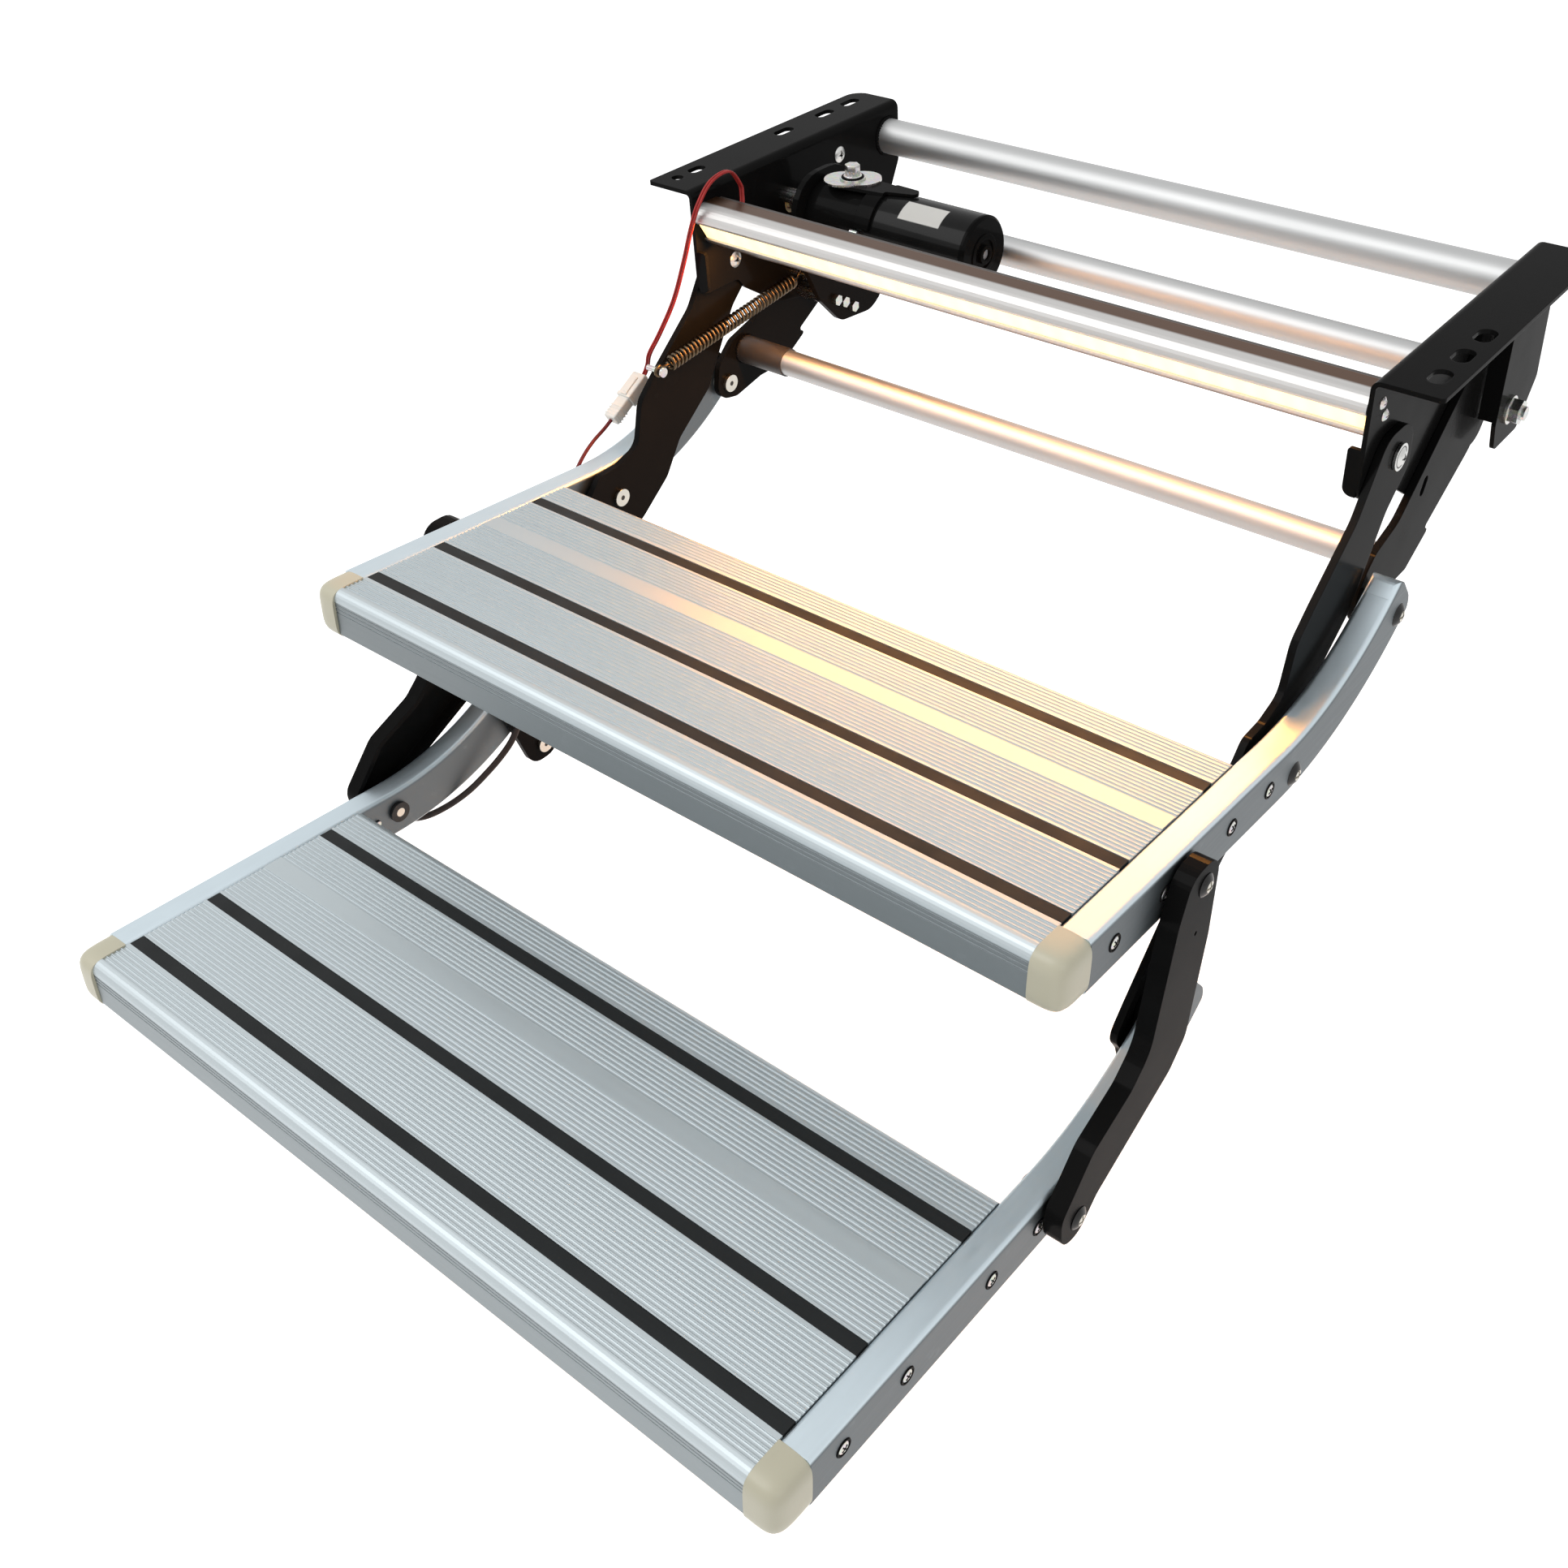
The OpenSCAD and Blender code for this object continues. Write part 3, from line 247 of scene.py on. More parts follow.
def pinFinish(name, around):
    f = Finish(name, IOR=1.45, Specular_IOR_Level=0.35)
    x, y, z = axes(f)
    across = f.sizeOf(x)
    bright = inner = f.limit(across, pinAxes["innerEnd"] + 0.2, pinAxes["innerEnd"])
    for at in around:
        away = fromAxis(y, z, at)
        near = f.limit(away, pinAxes["socket"], pinAxes["socket"] - 0.4)
        # painted shade: a black centre inside the socket of each inner head
        hollow = f.limit(away, pinAxes["hollow"], pinAxes["hollow"] - 0.3)
        bright = f.largest(bright, near) - inner * hollow
    cloudy = f.noise(60, 3)
    black = f.mix(cloudy, (0.007, 0.007, 0.007), (0.014, 0.0135, 0.013))
    zinc = f.mix(cloudy, (0.45, 0.43, 0.38), (0.68, 0.66, 0.6))
    f.feed(Base_Color=f.mix(bright, black, zinc), Metallic=bright, Roughness=f.limit(cloudy, 0.3, 0.7, 0.22, 0.36))
    f.relief(f.noise(700, 2), 0.08, 0.0001, 0.0004)
    return f.material


# pivot bolts: a bright dome inside a dark ring, its socket a dark centre painted as shade in the recess
pivot = {"axes": [(41, -65.5), (172.073, -22.316)], "ring": (6.1, 7.4), "socket": 1.9}


def pivotFinish():
    f = Finish("pivotBoltZinc", Metallic=1.0)
    x, y, z = axes(f)
    dark = 0
    for at in pivot["axes"]:
        away = fromAxis(y, z, at)
        # dark ring, plus the socket's centre as painted shade
        dark = between(f, away, *pivot["ring"], 0.3) + f.limit(away, pivot["socket"], pivot["socket"] - 0.4) + dark
    cloudy = f.noise(60, 3)
    f.feed(Base_Color=f.mix(dark, f.mix(cloudy, (0.5, 0.5, 0.49), (0.7, 0.7, 0.68)), (0.012, 0.012, 0.012)),
           Roughness=f.limit(cloudy, 0.3, 0.7, 0.24, 0.38))
    f.relief(cloudy, 0.1, 0.0001, 0.0004)
    return f.material


# the motor can: black paint with a blank pale sticker on top
motor = {"axis": (110, -42.4), "shaft": 4.6}
sticker = {"x": (-147, -109), "y": (90, 106), "tone": (0.62, 0.61, 0.58)}


def canPaint():
    f = Finish("blackCanPaint", IOR=1.45, Specular_IOR_Level=0.05, Coat_Weight=0.16, Coat_Roughness=0.08)
    x, y, z = axes(f)
    top = f.limit(z, motor["axis"][1], motor["axis"][1] + 1)
    stuck = between(f, x, *sticker["x"]) * between(f, y, *sticker["y"]) * top
    cloudy = f.noise(40, 3)
    paper = f.mix(cloudy * 0.4, sticker["tone"], [c * 0.8 for c in sticker["tone"]])
    f.feed(Base_Color=f.mix(stuck, f.mix(cloudy, (0.005, 0.005, 0.005), (0.009, 0.009, 0.009)), paper),
           Roughness=f.limit(cloudy, 0.3, 0.7, 0.18, 0.26) + stuck * 0.3)
    f.relief(f.noise(700, 2) + stuck * 2, 0.05, 0.0001, 0.0004)
    return f.material


# the light bar: drawn aluminium, its rear half a darker brown, glossier and a little less metallic
bar = {"brownRearFrom": (11, 13.5), "bare": ((0.5, 0.49, 0.48), (0.6, 0.59, 0.58)),
       "brownRear": ((0.07, 0.03, 0.012), (0.1, 0.045, 0.02))}


def barMetal():
    f = Finish("lightBarAluminium")
    x, y, z = axes(f)
    brownRear = f.limit(y, *bar["brownRearFrom"])
    lines = f.noise(1, 3, 0.6, (7, 400, 400))
    f.feed(Base_Color=f.mix(brownRear, f.mix(lines, *bar["bare"]), f.mix(lines, *bar["brownRear"])),
           Metallic=1 - brownRear * 0.15, Roughness=f.limit(lines, 0.2, 0.8, 0.4, 0.5) - brownRear * 0.12)
    f.relief(lines, 0.05, 0.00005, 0.0004)
    return f.material


# plated and turned metal: faint spangle under a soft haze
def zincPlate(name, tone, rough, grain=(1, 1, 1)):
    f = Finish(name, Metallic=1.0)
    spangle = f.add("ShaderNodeTexVoronoi", {}, {"Vector": f.place(), "Scale": 420.0}, "Color")
    cloudy = f.noise(55, 4, 0.6, grain)
    haze = f.limit(f.noise(18, 4), 0.45, 0.75)
    shade = f.mix(cloudy, [c * 0.8 for c in tone], tone)
    shade = f.mix(0.12, shade, spangle)
    f.feed(Base_Color=f.mix(haze * 0.25, shade, (0.5, 0.46, 0.36)),
           Roughness=f.limit(cloudy, 0.3, 0.7, rough - 0.06, rough + 0.1))
    f.relief(cloudy, 0.15, 0.0001, 0.0003)
    return f.material


# moulded plastic: fine grain, slight clouding and a little grime
def moulded(name, tone, rough, speck=0.03, coat=0.0):
    f = Finish(name, Metallic=0.0, Coat_Weight=coat, Coat_Roughness=0.3)
    grain = f.noise(1400, 2, 0.5)
    cloudy = f.noise(14, 3)
    grime = f.limit(f.noise(46, 5, 0.75), 0.6, 0.85)
    shade = f.mix(cloudy, [c * 0.92 for c in tone], [min(1, c * 1.05) for c in tone])
    f.feed(Base_Color=f.mix(grime * 0.2, shade, [c * 0.55 for c in tone]),
           Roughness=f.limit(grain, 0.2, 0.8, rough - 0.05, rough + 0.07))
    f.relief(grain, speck * 6, 0.00008, 0.0004)
    return f.material


# rubber and lead insulation: grain with streaks along X
def rubberFinish(name, tone, rough):
    f = Finish(name, Metallic=0.0, Specular_IOR_Level=0.25)
    grain = f.noise(1100, 3, 0.6)
    streak = f.noise(1, 3, 0.6, (3, 160, 160))
    f.feed(Base_Color=f.mix(streak, [c * 0.7 for c in tone], [c * 1.5 for c in tone]),
           Roughness=f.limit(f.noise(30, 3), 0.3, 0.7, rough - 0.08, rough + 0.08))
    f.relief(grain, 0.25, 0.0001, 0.0003)
    return f.material


# the lit strip: a warm diffuser with the lights faintly showing behind it
def glowingStrip():
    f = Finish("warmDiffuser", Roughness=0.45, Emission_Strength=light["stripGlow"])
    spot = f.add("ShaderNodeTexWave", {"wave_type": "BANDS", "bands_direction": "X"},
                 {"Vector": f.place(), "Scale": 19.0}, "Fac")
    soft = f.noise(30, 2)
    f.feed(Emission_Color=f.mix(spot * 0.4 + soft * 0.2, (1.0, 0.66, 0.24), (1.0, 0.76, 0.36)),
           Base_Color=f.mix(soft, (0.9, 0.8, 0.62), (1.0, 0.9, 0.72)))
    return f.material


# the armature: copper strands round a steel shaft
def copperWinding():
    f = Finish("copperWinding", Metallic=1.0)
    strands = f.add("ShaderNodeTexWave", {"wave_type": "BANDS", "bands_direction": "Y"},
                    {"Vector": f.place(turn=(0, 0, 8)), "Scale": 260.0, "Distortion": 1.5}, "Fac")
    x, y, z = axes(f)
    shaft = f.limit(fromAxis(y, z, motor["axis"]), motor["shaft"], motor["shaft"] - 0.3)
    f.feed(Base_Color=f.mix(shaft, f.mix(strands, (0.25, 0.09, 0.04), (0.72, 0.34, 0.16)), (0.3, 0.3, 0.31)),
           Roughness=f.limit(strands, 0, 1, 0.25, 0.5))
    f.relief(strands, 0.5, 0.0003)
    return f.material


finishes = {
    "blackCoat": blackCoat("blackPowderCoat", 0.006, 0.22, 0.06, 0.3),
    "motorPaint": blackCoat("blackMotorPaint", 0.005, 0.2, 0.03, 0.3),
    "upperPins": pinFinish("upperPinHeads", pinAxes["upper"]),
    "lowerPins": pinFinish("lowerPinHeads", pinAxes["lower"]),
    # the rails and treads get painted shade on their upright faces
    "railMetal": drawnAluminium("railAluminium", (0.58, 0.66, 0.705), 0.45, (420, 9, 420), bump=0.05,
                                paintedShade=railSideShade),
    "treadMetal": drawnAluminium("treadAluminium", (0.49, 0.54, 0.56), 0.52, (7, 300, 300), bump=0.04,
                                 paintedShade=noseFrontShade),
    "profileMetal": barMetal(),
    "canPaint": canPaint(),
    "tubeMetal": drawnAluminium("tubeSteel", (0.5, 0.505, 0.505), 0.5, (9, 300, 300), bump=0.03),
    "pivotZinc": pivotFinish(),
    "zinc": zincPlate("brightZinc", (0.62, 0.61, 0.59), 0.24),
    "springSteel": drawnAluminium("springSteel", (0.11, 0.08, 0.048), 0.3, (80, 80, 80)),
    "shaftSteel": zincPlate("groundSteel", (0.36, 0.37, 0.38), 0.26, (1, 9, 9)),
    "cream": moulded("creamPlastic", (0.5, 0.475, 0.36), 0.4, 0.03, 0.15),
    "nylon": moulded("whiteNylon", (0.78, 0.76, 0.71), 0.4, 0.02, 0.1),
    "brownCover": moulded("brownPlastic", (0.035, 0.026, 0.021), 0.4),
    "sleeve": moulded("shrinkSleeve", (0.03, 0.026, 0.024), 0.45),
    "magnet": moulded("ferrite", (0.08, 0.08, 0.085), 0.6),
    "bronze": zincPlate("oiledBronze", (0.55, 0.38, 0.2), 0.35),
    "rubber": rubberFinish("stripRubber", (0.006, 0.0075, 0.008), 0.6),
    "redWire": rubberFinish("redWire", (0.3, 0.02, 0.018), 0.4),
    "darkWire": rubberFinish("darkRedWire", (0.12, 0.012, 0.014), 0.42),
    "cable": rubberFinish("blackCable", (0.02, 0.014, 0.013), 0.45),
    "glow": glowingStrip(),
    "winding": copperWinding(),
}
print("finishes made:", len(finishes))

finishOfNode = {
    "blackCoat": "left_bracket right_bracket gearbox_plate left_front_arm right_front_arm left_rear_arm "
                 "right_rear_arm stop_bracket drive_link lower_hinge_lugs left_link right_link",
    "motorPaint": "gearbox_housing motor_end_cap motor_strap",
    "canPaint": "motor_can",
    "upperPins": "upper_pivot_pins",
    "lowerPins": "lower_pivot_pins",
    "railMetal": "upper_left_rail upper_right_rail lower_left_rail lower_right_rail",
    "treadMetal": "upper_tread lower_tread",
    "profileMetal": "light_bar",
    "tubeMetal": "back_tube middle_tube torsion_tube",
    "zinc": "standoffs standoff_screws plate_bolts motor_screws light_bar_screws strap_washer strap_bolt "
            "upper_screws lower_screws stop_bolt spring_peg spring_hook_pin drive_pins",
    "pivotZinc": "front_pivot_bolts rear_pivot_bolts",
    "springSteel": "balance_spring",
    "shaftSteel": "output_crank",
    "cream": "upper_end_caps lower_end_caps",
    "nylon": "pivot_spacers lead_connector",
    "brownCover": "light_bar_cover",
    "sleeve": "torsion_sleeve",
    "magnet": "field_magnets",
    "bronze": "output_bush",
    "rubber": "upper_strips lower_strips",
    "redWire": "supply_lead",
    "darkWire": "rail_lead",
    "cable": "step_cable",
    "glow": "light_strip",
    "winding": "armature",
}
for finish, names in finishOfNode.items():
    for name in names.split():
        mats = nodes[name].data.materials
        mats.clear()
        mats.append(finishes[finish])
print("finishes on", sum(len(n.split()) for n in finishOfNode.values()), "nodes")


def pick(*chosen):
    clearSelection()
    for o in chosen:
        o.select_set(True)
    bpy.context.view_layer.objects.active = chosen[0]


def applyPlace(o):
    pick(o)
    bpy.ops.object.transform_apply(location=True, rotation=True, scale=True)


# a finished piece: its place in its mesh, its name, finish, body and material slot
def settle(o, name, body, finish):
    applyPlace(o)
    o.name = o.data.name = name
    o.data.materials.clear()
    o.data.materials.append(finishes[finish])
    if body:
        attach(o, body)
    return o


# leads: the same routes as in the part's source
leads = {
    "supplyRoute": [(-252, 31.3, -19), (-253, 36, -17.5), (-256, 40, -11), (-258, 40.7, -3.7), (-261, 33, 7.5),
                    (-264, 16.5, 4.5), (-261, -2, -6.5), (-267, -6.5, -26), (-276, -8, -52), (-287, -12.1, -84),
                    (-296, -21.8, -109.5), (-302, -29.9, -125.7), (-306.4, -29.3, -136.5),
                    (-308.8, -30.9, -143.6), (-309.2, -34.2, -146.6)],
    "railRoute": [(-308, -72.2, -167.4), (-308, -80.4, -171.5), (-307, -94, -176), (-305, -107, -181.5),
                  (-304, -118, -190), (-303, -126, -198), (-301.7, -129, -203)],
    "cableRoute": [(-268.6, -212, -296), (-267.2, -219, -306), (-266, -236, -331), (-266, -244.6, -341.4),
                   (-266, -254.2, -352.1), (-267, -267.6, -360.9), (-269, -282, -368.4), (-272, -294.4, -375),
                   (-277, -305, -381), (-283, -315, -386), (-288, -326, -388), (-291, -335.6, -385.6),
                   (-292, -339.4, -381.1)],
    "wireSize": 2.0, "railWireSize": 3.0, "cableSize": 5.0, "wirePitch": 2.4,
    "supplyBend": ((-264, -2, -8), (-306, -29.5, -136)), "railBend": ((-308, -74, -167), (-301, -128, -201)),
    "cableBend": ((-267, -219, -306), (-283, -315, -386))}


# a smooth curve through a route's points, in metres
def smoothRoute(points, cuts):
    out = []
    for i in range(len(points) - 1):
        a, b, c, d = [Vector(points[min(max(k, 0), len(points) - 1)]) for k in (i - 1, i, i + 1, i + 2)]
        for j in range(cuts):
            t = j / cuts
            out.append(0.5 * (2 * b + (c - a) * t + (2 * a - 5 * b + 4 * c - d) * t ** 2
                              + (3 * b - a - 3 * c + d) * t ** 3))
    return [mm(*p) for p in out + [Vector(points[-1])]]


def tubeAlong(points, size, sides=3):
    curve = bpy.data.curves.new("line", "CURVE")
    curve.dimensions, curve.bevel_depth, curve.bevel_resolution = "3D", size / 2, sides
    curve.use_fill_caps = True
    s = curve.splines.new("POLY")
    s.points.add(len(points) - 1)
    for p, q in zip(s.points, points):
        p.co = (*q, 1)
    o = bpy.data.objects.new("line", curve)
    scene.collection.objects.link(o)
    return o


def toMesh(o):
    pick(o)
    bpy.ops.object.convert(target="MESH")
    bpy.ops.object.shade_smooth()
    return bpy.context.object


def freeLead(name, route, size, cuts, finish, node, bend):
    points = smoothRoute(route, cuts)
    o = toMesh(tubeAlong(points, size * 0.001, 4))
    settle(o, name, None, finish)
    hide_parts(node)
    tuple(mm(*bend[0]))
    tuple(mm(*bend[1]))
    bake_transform(o)


# lead connector: two nylon halves with a latch, ribs and a lip; each block has a middle, a size and a bevel in mm
plug = {"middle": (-308, -53.3, -157.1), "tilt": 28.6, "ribs": 4, "ribFrom": -18.5, "ribPitch": 2.8,
        "blocks": {"socket": ((0, 11.5, 0), (13.4, 22, 11.5), 1.1), "tail": ((0, -10.5, 0), (11.4, 22, 9.6), 1.4),
                   "lip": ((0, 0.5, 0), (14, 3.2, 12), 0.6), "latch": ((0, 9, 5.9), (4.6, 17, 1.8), 0.5),
                   "latchStep": ((0, 1.5, 6.2), (6, 2.6, 1.6), 0.5)},
        "rib": ((11.9, 1, 10.1), 0.3), "seal": ((3.6, 3, 4.2), 0.9),
        "sealAt": 22.6, "sealApart": 2.4}


def blockAt(name, middle, size, bevel):
    clearSelection()
    bpy.ops.mesh.primitive_cube_add(size=1, location=(0, 0, 0))
    o = bpy.context.object
    o.scale = mm(*size)
    bpy.ops.object.transform_apply(location=False, rotation=False, scale=True)
    for v in o.data.vertices:
        v.co += mm(*middle)
    bpy.ops.object.mode_set(mode="EDIT")
    bpy.ops.mesh.select_all(action="SELECT")
    bpy.ops.mesh.bevel(offset=bevel * 0.001, segments=3, affect="EDGES")
    bpy.ops.object.mode_set(mode="OBJECT")
    o.name = name
    return o


# several pieces made into one
def joined(parts):
    pick(*parts)
    bpy.ops.object.join()
    return bpy.context.object


def makeConnector():
    parts = [blockAt(name, *row) for name, row in plug["blocks"].items()]
    for k in range(plug["ribs"]):
        parts.append(blockAt("rib", (0, plug["ribFrom"] + plug["ribPitch"] * k, 0), *plug["rib"]))
    for side in (-1, 1):
        parts.append(blockAt("wireSeal", (side * plug["sealApart"], plug["sealAt"], 0), *plug["seal"]))
    o = joined(parts)
    turn = Matrix.Translation(mm(*plug["middle"])) @ Matrix.Rotation(math.radians(plug["tilt"]), 4, "X")
    o.matrix_world = turn
    settle(o, "leadConnectorShell", "front_arms", "nylon")
    bpy.ops.object.shade_smooth_by_angle(angle=math.radians(35))
    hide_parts("lead_connector")
    return o


connector = makeConnector()
first = leads["supplyRoute"]
second = [(x + leads["wirePitch"], y, z) for x, y, z in first]
for name, route in (("supplyWireA", first), ("supplyWireB", second)):
    freeLead(name, route, leads["wireSize"], 6, "redWire", "supply_lead",
             leads["supplyBend"])
freeLead("railLead", leads["railRoute"], leads["railWireSize"], 6, "darkWire",
         "rail_lead", leads["railBend"])
freeLead("stepCable", leads["cableRoute"], leads["cableSize"], 5, "cable",
         "step_cable", leads["cableBend"])
print("leads and connector made")

# balance spring: the part's own coil with a round wire
spring = {"peg": (-256, 105.4, -97.2), "hook": (-264.5, -56.00822, -120.07026), "outer": 5.9, "wire": 1.3,
          "turns": 36, "perTurn": 20, "pegSize": 2.2, "eyeGap": 0.3, "eyeNeck": 6,
          "eyeFrom": 290, "eyeTurn": 260, "eyeCuts": 16, "keep": 0.45}


def makeSpring():
    a, b = Vector(spring["peg"]), Vector(spring["hook"])
    d = (b - a).normalized()
    up = d.cross(Vector((1, 0, 0))).normalized()
    side = up.cross(d)
    eye = spring["pegSize"] + spring["wire"] + spring["eyeGap"]
    start = eye + spring["eyeNeck"]
    length = (b - a).length - 2 * start
    mid, n, turns = spring["outer"] - spring["wire"], spring["perTurn"], spring["turns"]

    def eyeAt(c, way):
        cuts = spring["eyeCuts"]
        angles = [math.radians(spring["eyeFrom"] - spring["eyeTurn"] * i / cuts) for i in range(cuts + 1)]
        return [c + eye * (math.cos(t) * way + math.sin(t) * up) for t in angles]

    coil = []
    for k in range(n * turns + 1):
        t = 2 * math.pi * k / n
        r = mid * min(1, 2 * k / n, 2 * (n * turns - k) / n)
        coil.append(a + d * (start + length * k / (n * turns)) + r * (math.cos(t) * up + math.sin(t) * side))
    points = eyeAt(a, d) + coil + eyeAt(b, -d)[::-1]
    o = toMesh(tubeAlong([mm(*p) for p in points], spring["wire"] * 0.002, 2))
    settle(o, "balanceSpringCoil", "spring", "springSteel")
    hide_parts("balance_spring")
    tuple(mm(*b))
    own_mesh(o)


makeSpring()
print("spring made")

# weld beads round the ends of the three tubes: body, place of the axis, tube radius, places along X
weld = {"bead": 1.5, "step": 2.2, "gap": 0.3, "wave": 0.35, "ripple": 0.12,
        "tubes": [("frame", 235, -25, 14, (268, -268)), ("frame", 154, -57, 11, (268, -268)),
                  ("rear_arms", 47.365, -143.686, 10, (271.4, -271.4))]}


def makeWeld(name, body, y, z, radius, x):
    n = int(2 * math.pi * (radius + 1) / weld["step"])
    inward = -weld["gap"] if x > 0 else weld["gap"]
    middle, size = mm(x + inward, y, z), (radius + weld["gap"]) * 0.001
    clearSelection()
    bpy.ops.mesh.primitive_torus_add(major_radius=size, minor_radius=weld["bead"] * 0.001, major_segments=n * 4,
                                     minor_segments=10, rotation=(0, math.radians(90), 0), location=middle)
    o = bpy.context.object
    bpy.ops.object.transform_apply(location=True, rotation=True, scale=True)
    for v in o.data.vertices:
        away = v.co - middle
        flat = Vector((0, away.y, away.z))
        t = math.atan2(away.z, away.y) * n
        wave = (weld["wave"] * math.sin(t) + weld["ripple"] * math.sin(t * 2.7 + 1)) * 0.001
        out = Vector((away.x, 0, 0)) + flat.normalized() * (flat.length - size)
        v.co += out.normalized() * wave
    bpy.ops.object.shade_smooth()
    settle(o, name, body, "blackCoat")


for i, (body, y, z, radius, sides) in enumerate(weld["tubes"]):
    for k, x in enumerate(sides):
        makeWeld("tubeWeld%d%s" % (i, "RL"[k]), body, y, z, radius, x)
print("welds made")

# end caps and screws of the steps, drawn in each step's own frame
cap = {"size": (21.2, 27, 18.9), "middle": -18.4, "power": 5.0, "cuts": 11}
# screws: the black ring round each head is a painted shadow of the gap round it, and the black cross slots are
# painted shade in the recess
screw = {"ring": 4.9, "shadowRingWire": 0.8, "head": 4.0, "dome": 1.1, "slot": (0.5, 0.9, 4.6), "slotDepth": 0.15,
         "slotTurns": (35, 125)}


def stepFrame(which):
    y, z = steps[which]
    return Matrix.Translation(mm(0, y, z)) @ Matrix.Rotation(math.radians(-steps["pitch"]), 4, "X")


def makeCaps(which):
    halves = []
    for side in (1, -1):
        clearSelection()
        bpy.ops.mesh.primitive_cube_add(size=2, location=(0, 0, 0))
        o = bpy.context.object
        bpy.ops.object.mode_set(mode="EDIT")
        bpy.ops.mesh.select_all(action="SELECT")
        bpy.ops.mesh.subdivide(number_cuts=cap["cuts"])
        bpy.ops.object.mode_set(mode="OBJECT")
        a, b, c = cap["size"]
        for v in o.data.vertices:
            u, w, h = (v.co.x + 1) / 2, (v.co.y - 1) / 2, v.co.z
            far = max(abs(u), abs(w), abs(h))
            norm = sum(abs(n) ** cap["power"] for n in (u, w, h)) ** (1 / cap["power"])
            k = far / norm if norm else 1
            v.co = mm(side * (steps["railIn"] + a * u * k), b * w * k, cap["middle"] + c * h * k)
        if side < 0:
            bpy.ops.object.mode_set(mode="EDIT")
            bpy.ops.mesh.flip_normals()
            bpy.ops.object.mode_set(mode="OBJECT")
        halves.append(o)
    o = joined(halves)
    o.matrix_world = stepFrame(which)
    settle(o, which + "CapPair", which + "_step", "cream")
    bpy.ops.object.shade_smooth_by_angle(angle=math.radians(50))
    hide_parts(which + "_end_caps")


def makeScrews(which):
    shadowRings, heads, slotShades = [], [], []
    for side in (1, -1):
        for y, z in steps["screws"]:
            place = mm(side * steps["railOut"], y, z)
            clearSelection()
            sideways = (0, math.radians(90), 0)
            # painted shadow: a black ring round the head
            bpy.ops.mesh.primitive_torus_add(major_radius=screw["ring"] * 0.001,
                                             minor_radius=screw["shadowRingWire"] * 0.001, major_segments=28,
                                             minor_segments=6, rotation=sideways, location=place)
            shadowRings.append(bpy.context.object)
            bpy.ops.mesh.primitive_uv_sphere_add(segments=24, ring_count=12, radius=1, rotation=sideways,
                                                 location=place)
            o = bpy.context.object
            o.scale = mm(screw["head"], screw["head"], screw["dome"])
            heads.append(o)
            # painted shade: two black boxes across the dome for the cross recess
            for turn in screw["slotTurns"]:
                clearSelection()
                depth = mm(side * (screw["dome"] - screw["slotDepth"]), 0, 0)
                bpy.ops.mesh.primitive_cube_add(size=1, location=place + depth, rotation=(math.radians(turn), 0, 0))
                o = bpy.context.object
                o.scale = mm(*screw["slot"])
                slotShades.append(o)
    # the black rings and slots are all painted shade
    for kind, parts, finish, slot in (("ScrewHeads", heads, "zinc", "zinc"),
                                      ("ScrewShades", shadowRings + slotShades, "blackCoat", "black_steel")):
        for o in parts:
            applyPlace(o)
        o = joined(parts)
        o.matrix_world = stepFrame(which)
        settle(o, which + kind, which + "_step", finish)
        bpy.ops.object.shade_smooth_by_angle(angle=math.radians(40))


for which in ("upper", "lower"):
    makeCaps(which)
    makeScrews(which)
print("caps and screws made")

# strap bolt: flanged hexagon on a dark ring above the oval washer
strapBolt = {"place": (-204, 110, -9), "ring": (7.6, 1.3), "seat": 0.3, "flange": (7.2, 1.6), "hex": (6.0, 8.2),
             "sunk": 0.2, "bevel": 0.7}


def makeStrapBolt():
    x, y, z = strapBolt["place"]
    r, w = strapBolt["ring"]
    clearSelection()
    bpy.ops.mesh.primitive_torus_add(major_radius=r * 0.001, minor_radius=w * 0.001, major_segments=48,
                                     minor_segments=10, location=mm(x, y, z))
    bpy.ops.object.shade_smooth()
    settle(bpy.context.object, "strapBoltRing", "frame", "blackCoat")
    parts, base = [], z + strapBolt["seat"]
    for (radius, high), sides in ((strapBolt["flange"], 48), (strapBolt["hex"], 6)):
        clearSelection()
        bpy.ops.mesh.primitive_cylinder_add(vertices=sides, radius=radius * 0.001, depth=high * 0.001,
                                            location=mm(x, y, base + high / 2))
        o = bpy.context.object
        bpy.ops.object.mode_set(mode="EDIT")
        bpy.ops.mesh.select_all(action="SELECT")
        bpy.ops.mesh.bevel(offset=strapBolt["bevel"] * 0.001, segments=3, affect="EDGES")
        bpy.ops.object.mode_set(mode="OBJECT")
        bpy.ops.object.transform_apply(location=True, rotation=True, scale=True)
        parts.append(o)
        base += high - strapBolt["sunk"]
    o = joined(parts)
    bpy.ops.object.shade_smooth_by_angle(angle=math.radians(30))
    settle(o, "strapBoltHead", "frame", "zinc")


makeStrapBolt()
print("strap bolt made")

# floor, backdrop and lamps; the surroundings are white for the camera, in gloss and through glass
def seenWhite(f):
    rays = f.add("ShaderNodeLightPath").socket.node.outputs
    seen = Wire(f, rays["Is Camera Ray"])
    for name in ("Is Glossy Ray", "Is Transmission Ray"):
        seen = f.largest(seen, Wire(f, rays[name]))
    return seen


class WorldFinish(Finish):
    def __init__(self, world):
        self.tree, self.coords = world.node_tree, None
        self.shader = self.tree.nodes["Background"]


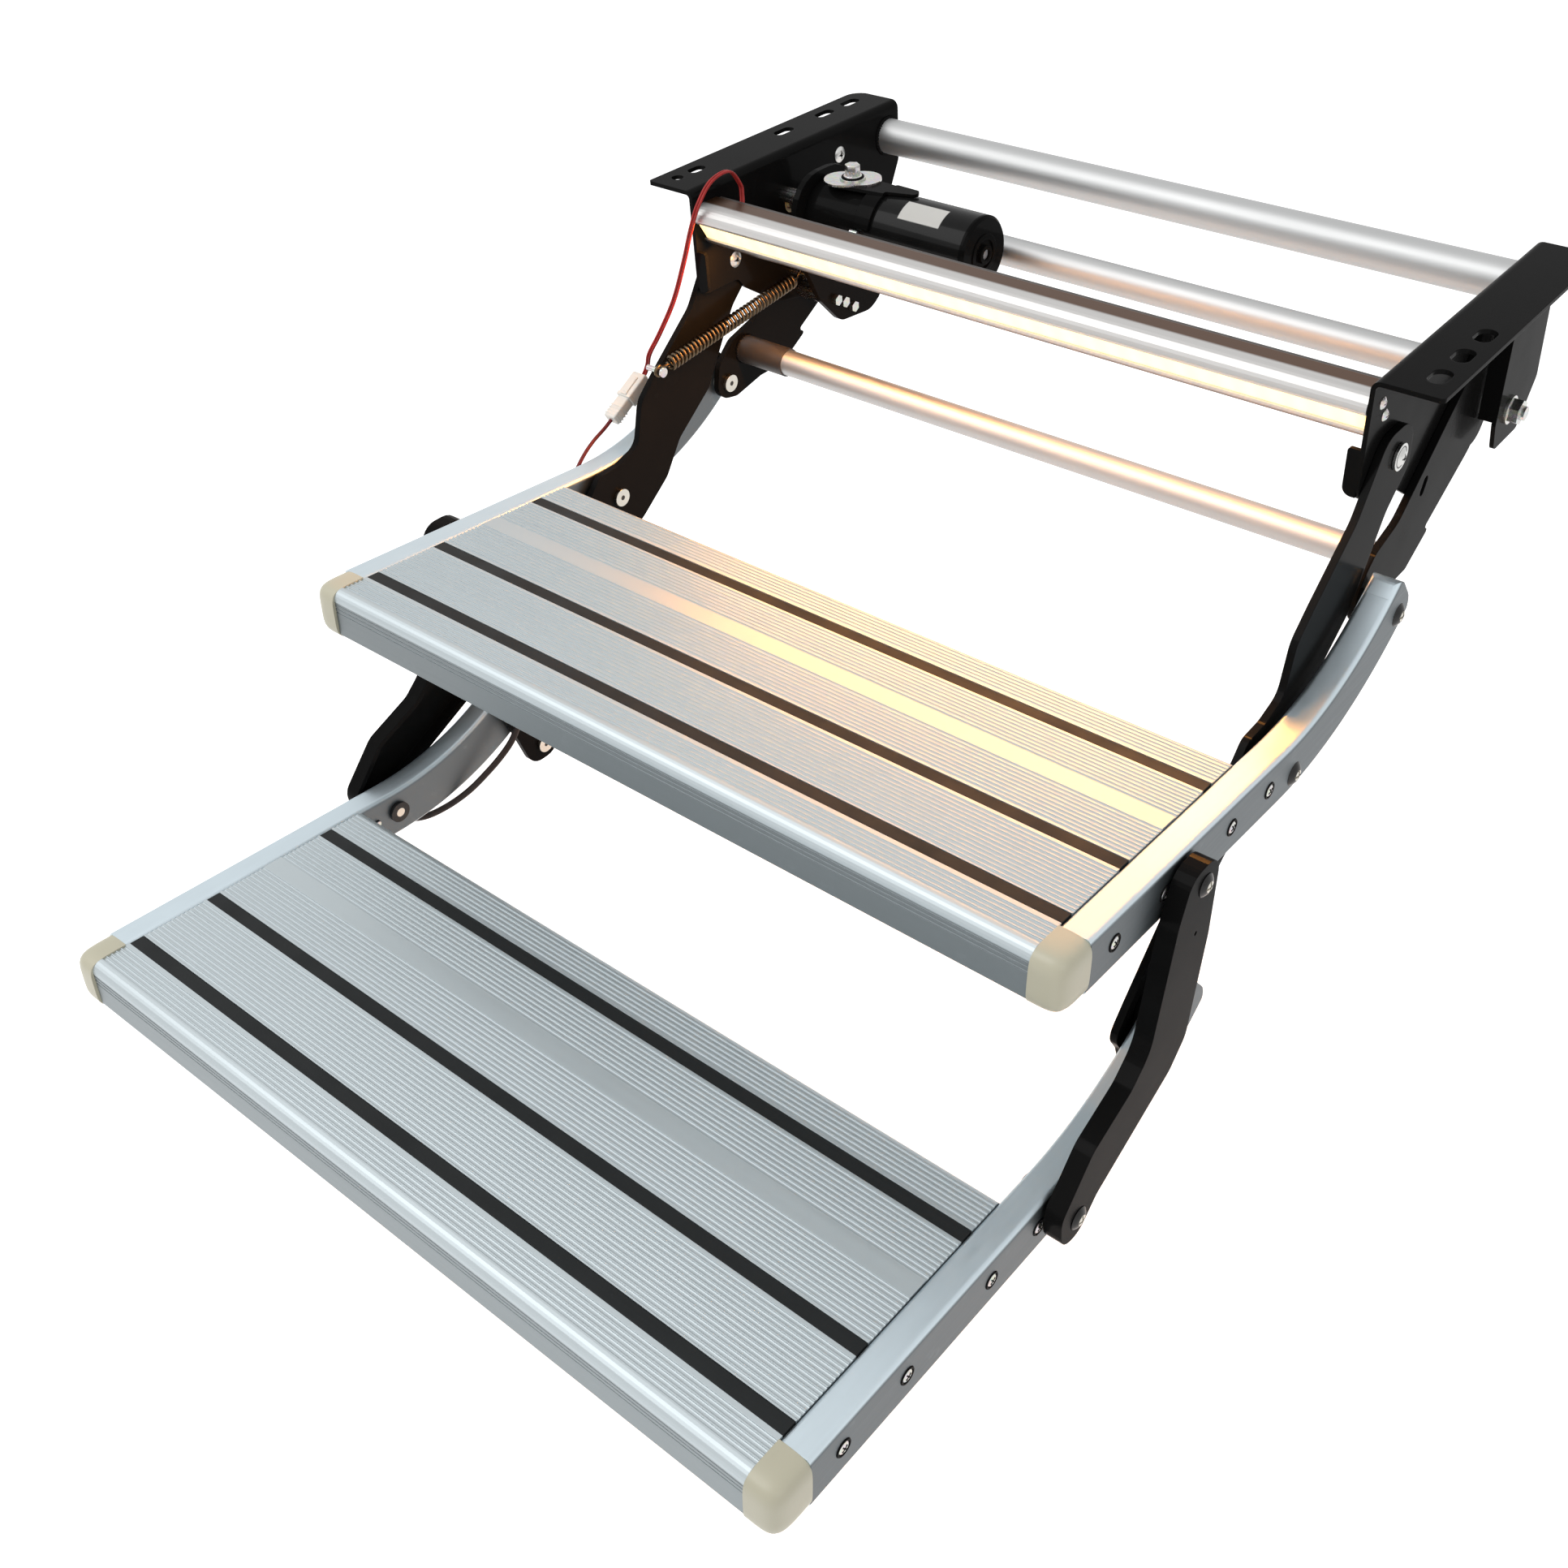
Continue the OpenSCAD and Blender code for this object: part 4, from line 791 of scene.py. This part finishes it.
def placeFloor():
    bpy.ops.mesh.primitive_plane_add(size=light["floorSize"], location=(0, 0, light["floorLevel"]))
    o = bpy.context.object
    o.name = "paleFloor"
    f = Finish("paleFloorFinish", Roughness=0.9)
    grain = f.noise(3, 2)
    f.feed(Base_Color=f.mix(grain, (0.9, 0.9, 0.9), (0.92, 0.92, 0.92)))
    f.shader.inputs["Emission Strength"].default_value = light["floorLift"]
    f.feed(Emission_Color=f.mix(seenWhite(f), (0, 0, 0), (1, 1, 1)))
    o.data.materials.append(f.material)


def placeLamp(name, power, place, size):
    lamp = bpy.data.lights.new(name, "AREA")
    lamp.energy, lamp.size, lamp.shape = power, size, "DISK"
    o = bpy.data.objects.new(name, lamp)
    scene.collection.objects.link(o)
    o.location = place
    o.rotation_euler = (Vector(light["aim"]) - Vector(place)).to_track_quat("-Z", "Y").to_euler()


# a long warm lamp under the light bar, hidden from the camera
def placeStripLamp(name, power, place, aim):
    lamp = bpy.data.lights.new(name, "AREA")
    lamp.energy, lamp.shape, lamp.color = power, "RECTANGLE", light["warm"]
    lamp.size, lamp.size_y = light["stripSize"]
    o = bpy.data.objects.new(name, lamp)
    scene.collection.objects.link(o)
    back, side = -Vector(aim).normalized(), Vector((1, 0, 0))
    o.rotation_euler = Matrix((side, back.cross(side), back)).transposed().to_euler()
    o.location = place
    o.visible_camera = False


def placeSky():
    world = bpy.data.worlds.new("sky")
    scene.world = world
    world.use_nodes = True
    f = WorldFinish(world)
    f.shader.inputs["Color"].default_value = (1, 1, 1, 1)
    f.feed(Strength=f.limit(seenWhite(f), 0, 1, light["sky"], 1))


clearSelection()
placeFloor()
placeLamp("keyLamp", light["key"], light["keyPlace"], light["keySize"])
placeLamp("fillLamp", light["fill"], light["fillPlace"], light["fillSize"])
placeStripLamp("stripLamp", light["stripPower"], light["stripPlace"], light["stripAim"])
placeStripLamp("downLamp", light["downPower"], light["downPlace"], light["downAim"])
placeSky()
scene.view_settings.view_transform = "Standard"
print("floor and lamps placed")
